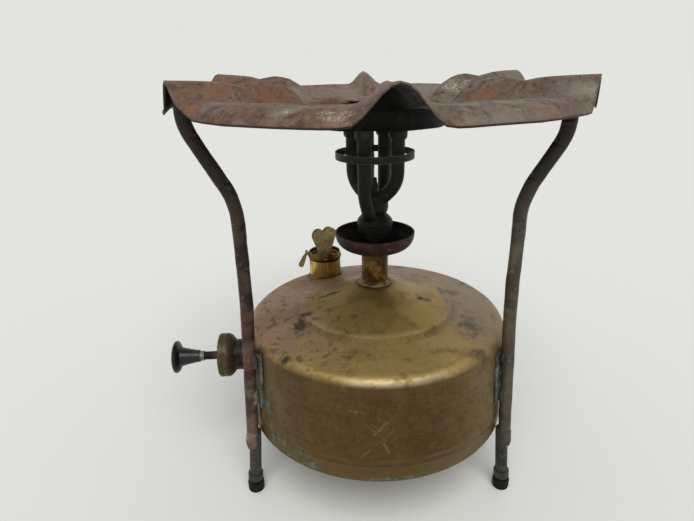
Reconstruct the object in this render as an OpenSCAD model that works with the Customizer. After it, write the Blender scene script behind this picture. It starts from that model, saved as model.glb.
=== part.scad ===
// Pressure stove: a brass fuel tank on three rod legs, with a hand pump in its
// side, a screw-capped filler, a riser with a priming cup, a four-tube burner
// and a loose pressed-steel pot plate that rests on the leg ends.
// Millimetres. The origin is on the floor on the tank's axis, the front is -Y,
// and an azimuth counts from the front towards +X.

/* [Tank] */
// Outside diameter of the tank wall under the shoulder
tank_d = 165; // [158:0.5:168]
// How far the wall flares outwards down to the seam
wall_flare = 2.5; // [0:0.1:3]
// Height of the flat rim of the tank top above the floor
shoulder_z = 106.4; // [100:0.2:116]
// Radius of the rounded shoulder
shoulder_r = 8; // [5:0.5:10]
// Height of the seam between shell and base
seam_z = 53.3; // [51:0.1:55]
// Height of the lowest edge of the tank
tank_foot_z = 42; // [40:0.2:43]
// Thickness of the brass sheet
sheet_t = 1; // [0.8:0.1:1.4]
// Diameter of the raised step on the tank top
step_d = 100; // [90:1:104]
// Height of the step's edge above the rim of the tank top
step_rise = 4.6; // [3.5:0.1:6]
// Height of the dome's centre above the step's edge
dome_rise = 14.6; // [10:0.2:18]

/* [Riser and priming cup] */
// Outside diameter of the riser tube
riser_d = 16.6; // [15:0.2:18]
// Diameter of the collar soldered round the riser's foot
collar_d = 21; // [19.5:0.5:24]
// Diameter of the priming cup's rim
cup_d = 49; // [44:0.5:52]
// Height of the priming cup's rim above the floor
cup_z = 159.4; // [158:0.2:160.4]
// Depth of the priming cup
cup_depth = 11.6; // [10.5:0.1:12.5]

/* [Burner] */
// Diameter of each burner tube
tube_d = 8; // [7:0.2:8.6]
// Radius of the circle on which the burner tubes stand
tube_ring_r = 14.4; // [13.8:0.1:16]
// Azimuth of the front left burner tube
tube_az = -26.6; // [-40:0.2:-10]
// Width across the flats of the burner's spanner block
hex_af = 18.6; // [17:0.2:20]
// Height at which the burner tubes enter the head
head_z = 223.5; // [220:0.5:226]
// Outside diameter of the burner head
head_d = 42; // [40:0.5:46]
// Outside diameter of the band round the burner tubes
band_d = 46.4; // [44:0.2:50]
// Height of the band's upper edge, counted from the head's underside
band_z = -14.9; // [-22:0.1:-13]
// Width of the band
band_w = 4; // [3:0.1:6]

/* [Pump] */
// Azimuth of the pump
pump_az = -86.4; // [-95:0.2:-84]
// Height of the pump's axis above the floor
pump_z = 76.2; // [74:0.2:79]
// Outside diameter of the pump barrel
barrel_d = 20.2; // [18.6:0.2:21.4]
// Bore of the pump barrel
bore_d = 18; // [16.6:0.2:18.6]
// Length of the barrel inside the tank
barrel_in = 64; // [62:0.5:66]
// Length of the barrel outside the tank wall
barrel_out = 17; // [15:0.5:19]
// Outside diameter of the pump cap
pump_cap_d = 28.7; // [26.5:0.1:31]
// Diameter of the pump rod
rod_d = 5.4; // [4.8:0.1:6]
// Length of rod that stands out between cap and knob ferrule
rod_show = 11; // [10.6:0.2:14]
// Diameter of the pump knob's face
knob_d = 21.4; // [19:0.2:24]
// Length of the pump knob
knob_l = 16.6; // [15:0.2:19]

/* [Filler] */
// Azimuth of the filler neck
filler_az = -147.9; // [-152:0.2:-140]
// Distance of the filler neck from the tank's axis
filler_r = 65.9; // [64.5:0.1:66.5]
// Outside diameter of the filler neck
neck_d = 23.3; // [22:0.1:24]
// Bore of the filler neck
neck_bore = 19.2; // [18:0.1:19.6]
// Height of the filler neck's mouth above the floor
neck_z = 121.3; // [120.6:0.1:125]
// Diameter of the filler cap's flange
cap_d = 24.9; // [24.4:0.1:27]
// Width of the filler cap's wing across its lobes
wing_w = 18.4; // [16:0.2:20]
// Height of the wing above the cap's floor
wing_h = 20.6; // [17:0.2:23]
// Turn of the wing about the cap's axis at rest
wing_turn = 34; // [0:1:60]

/* [Legs] */
// Diameter of the leg rods
leg_d = 7.3; // [6.8:0.1:7.8]
// Outward lean of the legs beside the tank, in degrees
leg_lean = 3; // [2:0.1:3.6]
// Height at which the legs turn upright
leg_bend_z = 128; // [124:1:134]
// Height at which the legs turn outwards
leg_flare_z = 178; // [172:1:182]
// Distance of the leg ends from the tank's axis
leg_out = 104.5; // [102:0.5:106]
// Slope of the flared stretch from the upright, in degrees
leg_flare = 28; // [25:1:32]
// Diameter of the foot posts
post_d = 7.4; // [6.8:0.1:7.6]
// Outward lean of the foot posts, in degrees
post_lean = 4.6; // [4:0.1:6]
// Diameter of the rubber feet
foot_d = 10.2; // [9.4:0.1:12]
// Height of the rubber feet
foot_h = 7.6; // [6.5:0.1:9]
// Height of the brackets that carry the legs
bracket_h = 33; // [26:1:33]
// Width of the brackets
bracket_w = 13; // [11:0.5:16]

/* [Pot plate] */
// Outside diameter of the pot plate
plate_d = 227.4; // [222:0.2:236]
// Height of the top of the ridges above the floor
plate_z = 250.4; // [249.6:0.2:254]
// Height of the ridges above the plate's skirt edge
ridge_h = 15; // [14:0.2:16.4]
// Width of the ridges between the legs, at the plate's edge
ridge_w = 39; // [36:0.5:42]
// Width of the ridges over the legs, at the plate's edge
leg_ridge_w = 27; // [25:0.5:30]
// Diameter of the hole over the burner
plate_hole_d = 80; // [76:1:82]
// Depth of the rim turned down round the hole
plate_rim_h = 11; // [9:0.2:12]
// Thickness of the pressed steel
plate_t = 1.2; // [1:0.1:1.5]
// Turn of the plate on the legs, in degrees
plate_turn = 1.9; // [-2:0.1:2]
// Lean of the plate towards the right leg, in degrees
plate_lean = 0.45; // [0:0.05:0.6]

/* [Hidden] */
$fn = 64;

// Clearances: parts soldered or screwed together, and parts that run
joint_gap = 0.03;
run_gap = 0.05;
// Hairline between two stretches of a bent rod, which a peg bridges inside
seam = 0.02;

BRASS = [0.62, 0.50, 0.24];
BRIGHT = [0.80, 0.62, 0.30];
SOOT = [0.10, 0.09, 0.08];
STEEL = [0.30, 0.25, 0.23];
PLATE = [0.42, 0.36, 0.33];
RUBBER = [0.05, 0.05, 0.05];
LEATHER = [0.36, 0.22, 0.12];
LEAD = [0.45, 0.45, 0.47];

LEG_AZ = [-60, 60, 180];
// How far each hand-bent leg's end strays from leg_out
LEG_STRAY = [2.4, -1.1, 0];

// Turns children so that their +X points outwards at an azimuth
module facing(az) {
    rotate([0, 0, az - 90]) children();
}

// A peg across a joint between two stretches of a rod, so that they are one solid
module peg(d) {
    translate([0, 0, -1])
        cylinder(d = d - 0.6, h = 2);
}

// A round rod that starts at the origin along +Z and bends towards +X.
// Each move is [straight length, turn angle, bend radius]; the last may turn by 0.
module bent_rod(d, moves, i = 0) {
    run = moves[i][0];
    turn = moves[i][1];
    bend_r = moves[i][2];
    side = turn < 0 ? -1 : 1;
    cylinder(d = d, h = run);
    if (i > 0)
        peg(d);
    translate([0, 0, run])
        if (i + 1 < len(moves))
            peg(d);
    if (turn != 0)
        translate([0, 0, run + seam])
            mirror([side < 0 ? 1 : 0, 0, 0])
                translate([bend_r, 0, 0])
                    rotate([-90, 0, 0])
                        rotate([0, 0, 180])
                            rotate_extrude(angle = abs(turn))
                                translate([bend_r, 0])
                                    circle(d = d);
    if (i + 1 < len(moves))
        translate([side * bend_r * (1 - cos(turn)), 0, run + seam + bend_r * sin(abs(turn))])
            rotate([0, turn, 0])
                translate([0, 0, seam])
                    bent_rod(d, moves, i + 1);
}

// A ring or disc round Z between two heights
module ring(d_out, d_in, z0, z1) {
    translate([0, 0, z0])
        difference() {
            cylinder(d = d_out, h = z1 - z0);
            if (d_in > 0)
                translate([0, 0, -1])
                    cylinder(d = d_in, h = z1 - z0 + 2);
        }
}

// A coil round Z, swept as one closed tube
module coil(mean_r, wire, length, turns, sides = 6, steps = 14) {
    count = turns * steps;
    rise = length - wire;
    points = [for (i = [0 : count]) for (k = [0 : sides - 1])
        let (a = 360 * i / steps, b = 360 * k / sides, r = mean_r + wire / 2 * cos(b))
            [r * cos(a), r * sin(a), wire / 2 + rise * i / count + wire / 2 * sin(b)]];
    skin = [for (i = [0 : count - 1]) for (k = [0 : sides - 1])
        let (n = (k + 1) % sides)
            [i * sides + k, (i + 1) * sides + k, (i + 1) * sides + n, i * sides + n]];
    start_cap = [for (k = [0 : sides - 1]) k];
    end_cap = [for (k = [sides - 1 : -1 : 0]) count * sides + k];
    polyhedron(points = points, faces = concat(skin, [start_cap, end_cap]), convexity = 6);
}

// ---- Tank ----

tank_r = tank_d / 2;
step_r = step_d / 2;
step_z = shoulder_z + step_rise;
rim_z = step_z - 1.5;
collar_z = step_z + dome_rise;
wall_top = shoulder_z - shoulder_r;
seam_step = 0.25;
foot_in = 0.5;

// Radius of the flared wall at a height
function wall_r(z) = tank_r + wall_flare * (wall_top - z) / (wall_top - seam_z);

// Half section of the tank top and wall, set inwards by a distance
function shell_line(inset) = concat(
    [[tank_r + wall_flare - inset, seam_z]],
    [for (a = [0 : 15 : 90])
        [tank_r - shoulder_r + (shoulder_r - inset) * cos(a),
         shoulder_z - shoulder_r + (shoulder_r - inset) * sin(a)]],
    [[step_r + 2.4, rim_z - inset], [step_r + 0.8, step_z - 0.5 - inset], [step_r, step_z - inset]],
    [for (u = [0.12 : 0.16 : 0.92])
        [step_r + (collar_d / 2 - step_r) * u, step_z + dome_rise * u * (0.8 + 0.2 * u) - inset]],
    [[riser_d / 2 + joint_gap, collar_z - inset]]);

function reversed(list) = [for (i = [len(list) - 1 : -1 : 0]) list[i]];

module tank_shell() {
    color(BRASS)
        difference() {
            rotate_extrude($fn = 128)
                polygon(concat(shell_line(0), reversed(shell_line(sheet_t))));
            on_pump(-20)
                cylinder(d = barrel_d + 2 * joint_gap, h = 40);
            at_filler()
                translate([0, 0, shoulder_z - 20])
                    cylinder(d = neck_d + 2 * joint_gap, h = 40);
        }
}

lap_h = 6;

// The pressed base: a short band, a rolled foot edge, a shallow dish inside it,
// and a lap that stands up inside the wall
module tank_base() {
    band_r = tank_r + wall_flare - seam_step;
    foot_r = band_r - foot_in;
    lap_r = wall_r(seam_z + lap_h) - sheet_t - joint_gap;
    t = sheet_t;
    z = tank_foot_z;
    color(BRASS)
        rotate_extrude($fn = 128)
            polygon([
                [band_r, seam_z], [foot_r, z + 0.9], [foot_r - 0.3, z + 0.2], [foot_r - 1, z],
                [foot_r - 2, z + 0.3], [foot_r - 2.4, z + 1.2], [foot_r - 3.4, z + 4],
                [foot_r - 21, z + 6.6], [foot_r - 51, z + 8.4], [0, z + 8.8],
                [0, z + 8.8 + t], [foot_r - 51, z + 8.4 + t], [foot_r - 21, z + 6.6 + t],
                [foot_r - 3.4, z + 4 + t], [foot_r - 1.4, z + 5 + t], [lap_r - t, seam_z],
                [lap_r - t, seam_z + lap_h], [lap_r, seam_z + lap_h], [lap_r, seam_z]]);
}

// ---- Riser and priming cup ----

cup_foot_z = cup_z - cup_depth;
cup_t = 1;
riser_top = cup_foot_z + 2;
spigot_d = 14;
spigot_h = 8.6;
pickup_d = 6;
pickup_off = 4;
washer_t = 1.4;
base_z = riser_top + washer_t;

module riser_collar() {
    color(BRASS)
        rotate_extrude()
            polygon([
                [riser_d / 2 + joint_gap, collar_z], [collar_d / 2, collar_z], [collar_d / 2, collar_z + 0.8],
                [collar_d / 2 - 0.5, collar_z + 1.4], [riser_d / 2 + 0.5, collar_z + 1.9],
                [riser_d / 2 + joint_gap, collar_z + 2.2]]);
}

module riser_tube() {
    color(BRASS)
        difference() {
            union() {
                ring(riser_d, 0, collar_z - 8, riser_top);
                ring(spigot_d, 0, riser_top, riser_top + spigot_h);
            }
            translate([0, 0, collar_z])
                cylinder(d = riser_d - 7, h = riser_top + spigot_h);
            at_pickup()
                translate([0, 0, collar_z - 9])
                    cylinder(d = pickup_d + 2 * joint_gap, h = 12);
        }
}

// Places children on the pick-up tube, which stands off the axis, away from the pump
module at_pickup() {
    facing(pump_az)
        translate([-pickup_off, 0, 0])
            children();
}

// Draws fuel from just above the base up into the riser
module pickup_tube() {
    color(BRASS)
        at_pickup()
            ring(pickup_d, pickup_d - 2, tank_foot_z + 13, collar_z);
}

module priming_cup() {
    hole_r = riser_d / 2 + joint_gap;
    wide = cup_d / 2 - hole_r;
    color(SOOT)
        rotate_extrude()
            polygon(concat(
                [for (a = [0 : 10 : 90])
                    [hole_r + wide * pow(cos(a), 0.8), cup_z - cup_depth * pow(sin(a), 0.8)]],
                [[hole_r, cup_foot_z + 1.9], [hole_r + 2.6, cup_foot_z + 1.9]],
                [for (a = [70 : -10 : 0])
                    [hole_r + (wide - cup_t) * pow(cos(a), 0.8), cup_z - (cup_depth - cup_t) * pow(sin(a), 0.8)]]));
}

// ---- Burner ----

hex_z = base_z + 6.4;
hex_top = hex_z + 7;
ball_r = tube_d * 1.025;
apex_z = hex_top + 11;
jet_d = 5;
jet_top = apex_z + ball_r + 9;
socket_d = tube_d + 2.7;
// Slope, bend radius, and radius and height of the foot, of the two kinds of tube
RISING = [27, 22, tube_d * 0.72, hex_top + 2];
RETURNING = [45, 17, 0, apex_z];

module burner_gasket() {
    color(LEAD)
        ring(riser_d - 0.6, spigot_d + 2 * joint_gap, riser_top, base_z);
}

// Threaded socket, spanner block, rounded collar and the ball that the tubes leave
module burner_base() {
    collar_r = hex_af / 2 + 1.6;
    color(SOOT)
        difference() {
            union() {
                ring(hex_af - 1, 0, base_z, hex_z + 0.1);
                translate([0, 0, hex_z])
                    cylinder(d = hex_af / cos(30), h = hex_top - hex_z, $fn = 6);
                rotate_extrude()
                    polygon([[0, hex_top - 1], [hex_af / 2 + 0.4, hex_top - 1], [collar_r, hex_top],
                        [collar_r, hex_top + 1.6], [collar_r - 0.8, hex_top + 3.2],
                        [collar_r - 2.2, hex_top + 4.8], [ball_r - 1.4, hex_top + 6.4], [0, hex_top + 6.4]]);
                translate([0, 0, apex_z])
                    sphere(r = ball_r);
            }
            translate([0, 0, base_z - 1])
                cylinder(d = spigot_d + 2 * joint_gap, h = spigot_h + 1);
            for (k = [0, 2])
                facing(tube_az + 90 * k)
                    translate([RISING[2], 0, RISING[3]])
                        rotate([0, RISING[0], 0])
                            translate([0, 0, -joint_gap])
                                cylinder(d = tube_d + 2 * joint_gap, h = tube_slant(RISING) + 4);
        }
}

// Length of a tube's aslant stretch
function tube_slant(kind) = (tube_ring_r - kind[2] - kind[1] * (1 - cos(kind[0]))) / sin(kind[0]);

// One burner tube, bent upright into the head. A rising one stands in a socket of
// the base; a returning one brings the vapour down to the ball under the jet.
module burner_tube(az, kind) {
    slope = kind[0];
    bent_z = kind[3] + tube_slant(kind) * cos(slope) + kind[1] * sin(slope);
    color(SOOT)
        facing(az)
            difference() {
                translate([kind[2], 0, kind[3]])
                    rotate([0, slope, 0])
                        bent_rod(tube_d, [[tube_slant(kind), -slope, kind[1]], [head_z - bent_z - 2 * seam, 0, 1]]);
                if (kind[2] == 0)
                    translate([0, 0, apex_z])
                        sphere(r = ball_r + joint_gap);
            }
}

// Ring casting with a socket for each tube and a dished top
module burner_head() {
    head_r = head_d / 2;
    throat_r = tube_ring_r - tube_d / 2 - 0.6;
    color(SOOT) {
        rotate_extrude()
            polygon([
                [throat_r, head_z], [head_r - 2, head_z], [head_r - 0.6, head_z + 1.4],
                [head_r - 0.4, head_z + 4], [head_r - 1.4, head_z + 7], [head_r, head_z + 10],
                [head_r, head_z + 11.5], [head_r - 1.2, head_z + 11.5], [head_r - 2.6, head_z + 7.6],
                [throat_r + 1.6, head_z + 6], [throat_r, head_z + 5]]);
        for (k = [0 : 3])
            facing(tube_az + 90 * k)
                translate([tube_ring_r, 0, 0])
                    rotate_extrude()
                        polygon([
                            [tube_d / 2 + joint_gap, head_z - 7.5], [socket_d / 2 - 0.7, head_z - 7.5],
                            [socket_d / 2, head_z - 6], [socket_d / 2, head_z + 0.6],
                            [tube_d / 2 + joint_gap, head_z + 0.6]]);
    }
}

// The jet in the middle of the ball
module jet_nipple() {
    seat_z = apex_z + ball_r;
    color(BRASS)
        difference() {
            union() {
                translate([0, 0, seat_z - 1])
                    cylinder(d = jet_d, h = 4, $fn = 6);
                translate([0, 0, seat_z + 2.9])
                    cylinder(d1 = jet_d - 1, d2 = 2.2, h = jet_top - seat_z - 2.9);
            }
            translate([0, 0, apex_z])
                sphere(r = ball_r + joint_gap);
        }
}

// Dished ring that stands on the head and carries the spreader on three posts
ring_z = head_z + 7.6;
spreader_z = ring_z + 5.6;

module flame_ring() {
    ring_r = head_d / 2 - 2.8;
    color(SOOT) {
        rotate_extrude()
            polygon([
                [ring_r - 5, ring_z - 0.3], [ring_r - 0.4, ring_z], [ring_r, ring_z + 0.7],
                [ring_r - 5, ring_z + 0.9]]);
        for (az = LEG_AZ)
            facing(az)
                translate([ring_r - 3.2, 0, ring_z + 0.4])
                    cylinder(d = 2.2, h = spreader_z - ring_z - 0.4 - joint_gap);
    }
}

module flame_spreader() {
    r = head_d / 2 - 3.8;
    color(SOOT)
        rotate_extrude()
            polygon([
                [0, spreader_z], [r - 1, spreader_z], [r, spreader_z + 0.5], [r - 0.4, spreader_z + 1],
                [r * 0.55, spreader_z + 1.9], [0, spreader_z + 2.4]]);
}

// Thin band round the tubes, held by a lug bent in to each rear tube
module burner_band() {
    band_r = band_d / 2;
    band_t = 0.9;
    band_top = head_z + band_z;
    color(SOOT) {
        ring(band_d, band_d - 2 * band_t, band_top - band_w, band_top);
        for (k = [2, 3])
            facing(tube_az + 90 * k)
                difference() {
                    translate([tube_ring_r, -1.5, band_top - band_w + 0.6])
                        cube([band_r - tube_ring_r - band_t + 0.2, 3, band_w - 1.2]);
                    translate([tube_ring_r, 0, 0])
                        cylinder(d = tube_d + 2 * joint_gap, h = band_top + 1);
                }
    }
}

// ---- Pump ----

// Places children on the pump's axis with +Z outwards, at a distance from the tank wall
module on_pump(s) {
    facing(pump_az)
        translate([tank_r + s, 0, pump_z])
            rotate([0, 90, 0])
                children();
}

cap_face = barrel_out + 4;
ferrule_l = 2.6;
ferrule_s = cap_face + rod_show;
knob_s = ferrule_s + ferrule_l;
push_in = 10.4;
valve_s = -barrel_in + 2;
cup_s = valve_s + push_in + 0.6;
cup_h = 6;
valve_bore = 6;
valve_l = 11;

module pump_barrel() {
    color(BRASS)
        on_pump(0)
            difference() {
                translate([0, 0, -barrel_in])
                    cylinder(d = barrel_d, h = barrel_in + barrel_out);
                translate([0, 0, -barrel_in - 1])
                    cylinder(d = bore_d, h = barrel_in + barrel_out + 2);
            }
}

// Screwed cap with two ridges, a rounded back, the rod's guide hole and an air hole
module pump_cap() {
    r = pump_cap_d / 2;
    in_r = barrel_d / 2 + joint_gap;
    color(BRASS)
        on_pump(0)
            difference() {
                rotate_extrude()
                    polygon([
                        [rod_d / 2 + run_gap, cap_face], [r - 0.5, cap_face], [r, cap_face - 0.7],
                        [r, cap_face - 2.6], [r - 0.5, cap_face - 2.9], [r - 0.5, cap_face - 3.5],
                        [r, cap_face - 3.8], [r, cap_face - 5.6], [r - 0.3, cap_face - 6.6],
                        [r - 1.2, cap_face - 8], [r - 2.8, cap_face - 9.4], [in_r + 0.5, cap_face - 10.1],
                        [in_r, cap_face - 10.1], [in_r, cap_face - 2.5],
                        [rod_d / 2 + run_gap, cap_face - 2.5]]);
                translate([-r * 0.55, 0, cap_face - 3])
                    cylinder(d = 1.6, h = 4);
            }
}

module pump_cap_washer() {
    color(LEATHER)
        on_pump(0)
            ring(barrel_d - 0.4, rod_d + 2, barrel_out, cap_face - 2.5);
}

module pump_rod() {
    color(STEEL)
        on_pump(0)
            translate([0, 0, cup_s + 0.6])
                cylinder(d = rod_d, h = knob_s + knob_l * 0.55 - cup_s - 0.6);
}

module knob_ferrule() {
    color(BRASS)
        on_pump(0)
            ring(rod_d + 1.1, rod_d + 2 * joint_gap, ferrule_s, knob_s);
}

// Trumpet-shaped turned knob with a dished face
module pump_knob() {
    r = knob_d / 2;
    neck_r = rod_d / 2 + 1.2;
    color(RUBBER)
        on_pump(knob_s)
            difference() {
                rotate_extrude()
                    polygon(concat(
                        [[0, 0], [neck_r - 0.2, 0], [neck_r, 0.3]],
                        [for (u = [0.25 : 0.25 : 1])
                            [neck_r + (r * 0.6 - neck_r) * pow(u, 1.3), 0.3 + (knob_l - 4.6) * u]],
                        [[r * 0.78, knob_l - 3.4], [r * 0.94, knob_l - 2.4], [r, knob_l - 1.3],
                         [r - 0.3, knob_l - 0.4], [r - 1.1, knob_l], [r * 0.72, knob_l - 0.4],
                         [r * 0.4, knob_l - 1], [0, knob_l - 1.2]]));
                translate([0, 0, -1])
                    cylinder(d = rod_d + 2 * joint_gap, h = knob_l * 0.55 + 1 + joint_gap);
            }
}

module leather_cup() {
    r = bore_d / 2 - run_gap;
    color(LEATHER)
        on_pump(cup_s)
            rotate_extrude()
                polygon([
                    [rod_d / 2 + joint_gap, cup_h - 1.6], [r - 2, cup_h - 1.6], [r - 1.6, cup_h - 2.2],
                    [r - 1.2, 0], [r - 0.3, 0], [r, 1], [r, cup_h - 1], [r - 1, cup_h],
                    [rod_d / 2 + joint_gap, cup_h]]);
}

module piston_plate() {
    color(STEEL)
        on_pump(cup_s + cup_h)
            ring(bore_d - 4, rod_d + 2 * joint_gap, 0, 1.6);
}

module piston_nut() {
    color(STEEL)
        on_pump(cup_s + cup_h - 4.6)
            difference() {
                cylinder(d = 8 / cos(30), h = 3, $fn = 6);
                translate([0, 0, -1])
                    cylinder(d = rod_d + 2 * joint_gap, h = 6);
            }
}

// Buffer spring that lies round the rod against the cap's washer
module rod_spring() {
    spring_l = 9;
    color(STEEL)
        on_pump(barrel_out - spring_l - joint_gap)
            coil(rod_d / 2 + 1.8, 1, spring_l, 5);
}

// Non-return valve screwed into the barrel's inner end
module valve_body() {
    color(BRASS)
        on_pump(valve_s)
            difference() {
                union() {
                    translate([0, 0, -valve_l])
                        cylinder(d = 11, h = valve_l);
                    translate([0, 0, -3])
                        cylinder(d = bore_d - 2 * joint_gap, h = 3);
                }
                translate([0, 0, -valve_l - 1])
                    cylinder(d = valve_bore, h = valve_l - 1);
                translate([0, 0, -valve_l])
                    cylinder(d = 1.8, h = valve_l + 1);
            }
}

pip_h = 2.4;
pip_travel = 1;
stop_h = 1.4;
pip_s = valve_s - 2;

module valve_stop() {
    color(BRASS)
        on_pump(valve_s - valve_l)
            ring(valve_bore - 2 * joint_gap, 2, 0, stop_h);
}

module valve_pip() {
    color(RUBBER)
        on_pump(pip_s - pip_h - joint_gap)
            cylinder(d = valve_bore - 4 * run_gap, h = pip_h);
}

module valve_spring() {
    spring_l = valve_l - 2 - pip_h - stop_h - 3 * joint_gap;
    color(STEEL)
        on_pump(valve_s - valve_l + stop_h + joint_gap)
            coil(1.9, 0.6, spring_l, 3, 6, 10);
}

// ---- Filler ----

module at_filler() {
    facing(filler_az)
        translate([filler_r, 0, 0])
            rotate([0, 0, 90 - filler_az])
                children();
}

gasket_t = 1.2;
cap_z = neck_z + gasket_t;
cap_floor = cap_z + 0.9;
cap_rim = cap_z + 4.2;
plug_d = neck_bore - 2 * run_gap;
plug_l = 4;
screw_d = 2;
cap_screw_z = cap_z + 2.5;

module filler_neck() {
    color(BRIGHT)
        at_filler()
            difference() {
                ring(neck_d, neck_bore, shoulder_z - 4, neck_z);
                translate([0, 0, neck_z - 0.8])
                    cylinder(d1 = neck_bore, d2 = neck_bore + 1.8, h = 0.9);
            }
}

module filler_gasket() {
    color(RUBBER)
        at_filler()
            ring(neck_d - 0.2, neck_bore + 0.2, neck_z + joint_gap, cap_z);
}

// Screw plug with a flange and a low rim round a recess
module filler_cap() {
    r = cap_d / 2;
    plug_r = plug_d / 2;
    color(BRIGHT)
        at_filler()
            difference() {
                rotate_extrude()
                    polygon([
                        [0, cap_z - plug_l], [plug_r - 0.6, cap_z - plug_l], [plug_r, cap_z - plug_l + 0.6],
                        [plug_r, cap_z], [r - 0.4, cap_z], [r, cap_z + 0.4], [r, cap_z + 1.2],
                        [r - 0.3, cap_z + 1.6], [r - 0.7, cap_z + 1.7], [r - 0.8, cap_rim - 0.4],
                        [r - 1.1, cap_rim], [r - 1.5, cap_rim - 0.2], [r - 1.7, cap_floor + 0.6],
                        [r - 2.2, cap_floor], [0, cap_floor]]);
                translate([-r - 1, 0, cap_screw_z])
                    rotate([0, 90, 0])
                        cylinder(d = screw_d + 2 * run_gap, h = 4);
            }
}

// One leaf of the wing: two lobes above a narrow foot
module wing_leaf(t) {
    half = wing_w / 2;
    lobe = wing_w * 0.26;
    top = wing_h - lobe;
    rotate([90, 0, 0])
        linear_extrude(height = t)
            polygon(concat(
                [[wing_w * 0.3, 4.6], [half, top - 1]],
                [for (a = [0 : 15 : 135]) [half - lobe + lobe * cos(a), top + lobe * sin(a)]],
                [[0, top + lobe * 0.55]],
                [for (a = [45 : 15 : 180]) [lobe - half + lobe * cos(a), top + lobe * sin(a)]],
                [[-half, top - 1], [-wing_w * 0.3, 4.6]]));
}

// Folded heart-shaped thumb piece, soldered into the cap's recess
module cap_wing() {
    leaf_t = 0.9;
    spread = 4;
    color(BRASS)
        at_filler()
            translate([0, 0, cap_floor])
                rotate([0, 0, wing_turn]) {
                    translate([-wing_w * 0.3, -leaf_t - 0.3, 0])
                        cube([wing_w * 0.6, 2 * leaf_t + 0.6, 5.4]);
                    translate([0, -0.3, 0])
                        rotate([spread, 0, 0])
                            wing_leaf(leaf_t);
                    mirror([0, 1, 0])
                        translate([0, -0.3, 0])
                            rotate([spread, 0, 0])
                                wing_leaf(leaf_t);
                }
}

// Air-release screw in the cap's rim, with one thumb leaf that hangs down
module air_screw() {
    leaf_l = 11.4;
    r = cap_d / 2;
    color(BRASS)
        at_filler()
            translate([0, 0, cap_screw_z]) {
                translate([-r - 1.8, 0, 0])
                    rotate([0, 90, 0])
                        cylinder(d = screw_d, h = 3);
                translate([-r - 2, 0, 0])
                    rotate([0, 90, 0])
                        cylinder(d = 4.2, h = 1.7);
                translate([-r - 1.3, 0, -1])
                    rotate([0, 23, 0])
                        translate([0, 0, -leaf_l])
                            rotate([90, 0, 0])
                                translate([0, 0, -0.6])
                                    linear_extrude(height = 1.2)
                                        polygon(concat(
                                            [for (a = [180 : 30 : 360]) [2.1 * cos(a) - 0.6, 2.1 + 2.1 * sin(a)]],
                                            [[0.9, leaf_l * 0.8], [0.3, leaf_l], [-1.2, leaf_l], [-2, leaf_l * 0.75]]));
            }
}

// ---- Legs ----

plate_r = plate_d / 2;
hole_r = plate_hole_d / 2;
skirt_z = plate_z - ridge_h;
ridge_extra = 0.3;
tip_gap = 2.6;
bracket_t = 0.9;
bracket_mid = 82;
bracket_r = wall_r(bracket_mid) + bracket_t + leg_d / 2;
lap_z = foot_h + 26;
lap_l = 11;
lap_top = lap_z + lap_l;
post_in = 1.6;
flare_low_r = 47;
flare_top_r = 25;
lean_bend_r = 60;
tip_h = leg_d * 0.3;

// Distance of a leg's or post's axis from the tank's axis at a height
function leg_at(z) = bracket_r + (bracket_mid - z) * tan(leg_lean);
function post_at(z) = leg_at(lap_top - 3) - post_in + (lap_top - 3 - z) * tan(post_lean);

leg_foot_r = leg_at(lap_z);
leg_run = (leg_bend_z - lap_z) / cos(leg_lean);
leg_in = leg_foot_r - leg_run * sin(leg_lean) - lean_bend_r * (1 - cos(leg_lean));
leg_up_z = leg_bend_z + lean_bend_r * sin(leg_lean);

module leg(k) {
    az = LEG_AZ[k];
    out = leg_out + LEG_STRAY[k];
    slant = (out - leg_in - (flare_low_r + flare_top_r) * (1 - cos(leg_flare))) / sin(leg_flare);
    slant_top = leg_flare_z + (flare_low_r + flare_top_r) * sin(leg_flare) + slant * cos(leg_flare);
    tip_z = plate_top(out, plate_turn, true) - plate_t - tip_gap - out * tan(plate_lean) * cos(az - LEG_AZ[1]);
    color(STEEL)
        facing(az)
            difference() {
                union() {
                    translate([leg_foot_r, 0, lap_z])
                        rotate([0, -leg_lean, 0])
                            bent_rod(leg_d, [
                                [leg_run, leg_lean, lean_bend_r],
                                [leg_flare_z - leg_up_z, leg_flare, flare_low_r],
                                [slant, -leg_flare, flare_top_r],
                                [tip_z - tip_h - slant_top - 7 * seam, 0, 1]]);
                    translate([out, 0, tip_z - tip_h]) {
                        peg(leg_d);
                        rotate_extrude()
                            polygon([
                                [0, 0], [leg_d / 2, 0], [leg_d * 0.46, tip_h * 0.4],
                                [leg_d * 0.32, tip_h * 0.8], [leg_d * 0.14, tip_h], [0, tip_h]]);
                    }
                }
                post_solid(joint_gap);
            }
}

// The foot post as a solid, grown by a gap where it is cut out of the leg
module post_solid(gap) {
    translate([post_at(foot_h), 0, foot_h])
        rotate([0, -post_lean, 0])
            translate([0, 0, -gap])
                cylinder(d = post_d + 2 * gap, h = (lap_top - foot_h) / cos(post_lean) + 2 * gap);
}

// Short post that laps into the leg's lower end and runs down into the foot
module foot_post(az) {
    color(STEEL)
        facing(az)
            post_solid(0);
}

module foot_ferrule(az) {
    color(STEEL)
        facing(az)
            translate([post_at(foot_h), 0, foot_h])
                rotate([0, -post_lean, 0])
                    ring(foot_d - 0.8, post_d + 2 * joint_gap, 0.8, 5.4);
}

// Rubber foot with a rounded sole, under the post
module rubber_foot(az) {
    r = foot_d / 2;
    color(RUBBER)
        facing(az)
            translate([post_at(foot_h), 0, 0])
                rotate_extrude()
                    polygon([
                        [0, 0], [r - 1.1, 0], [r - 0.3, 0.4], [r, 1.3], [r, foot_h - 1.4],
                        [r - 0.5, foot_h - 0.7], [r - 0.9, foot_h - 0.6], [0, foot_h - 0.6]]);
}

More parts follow.
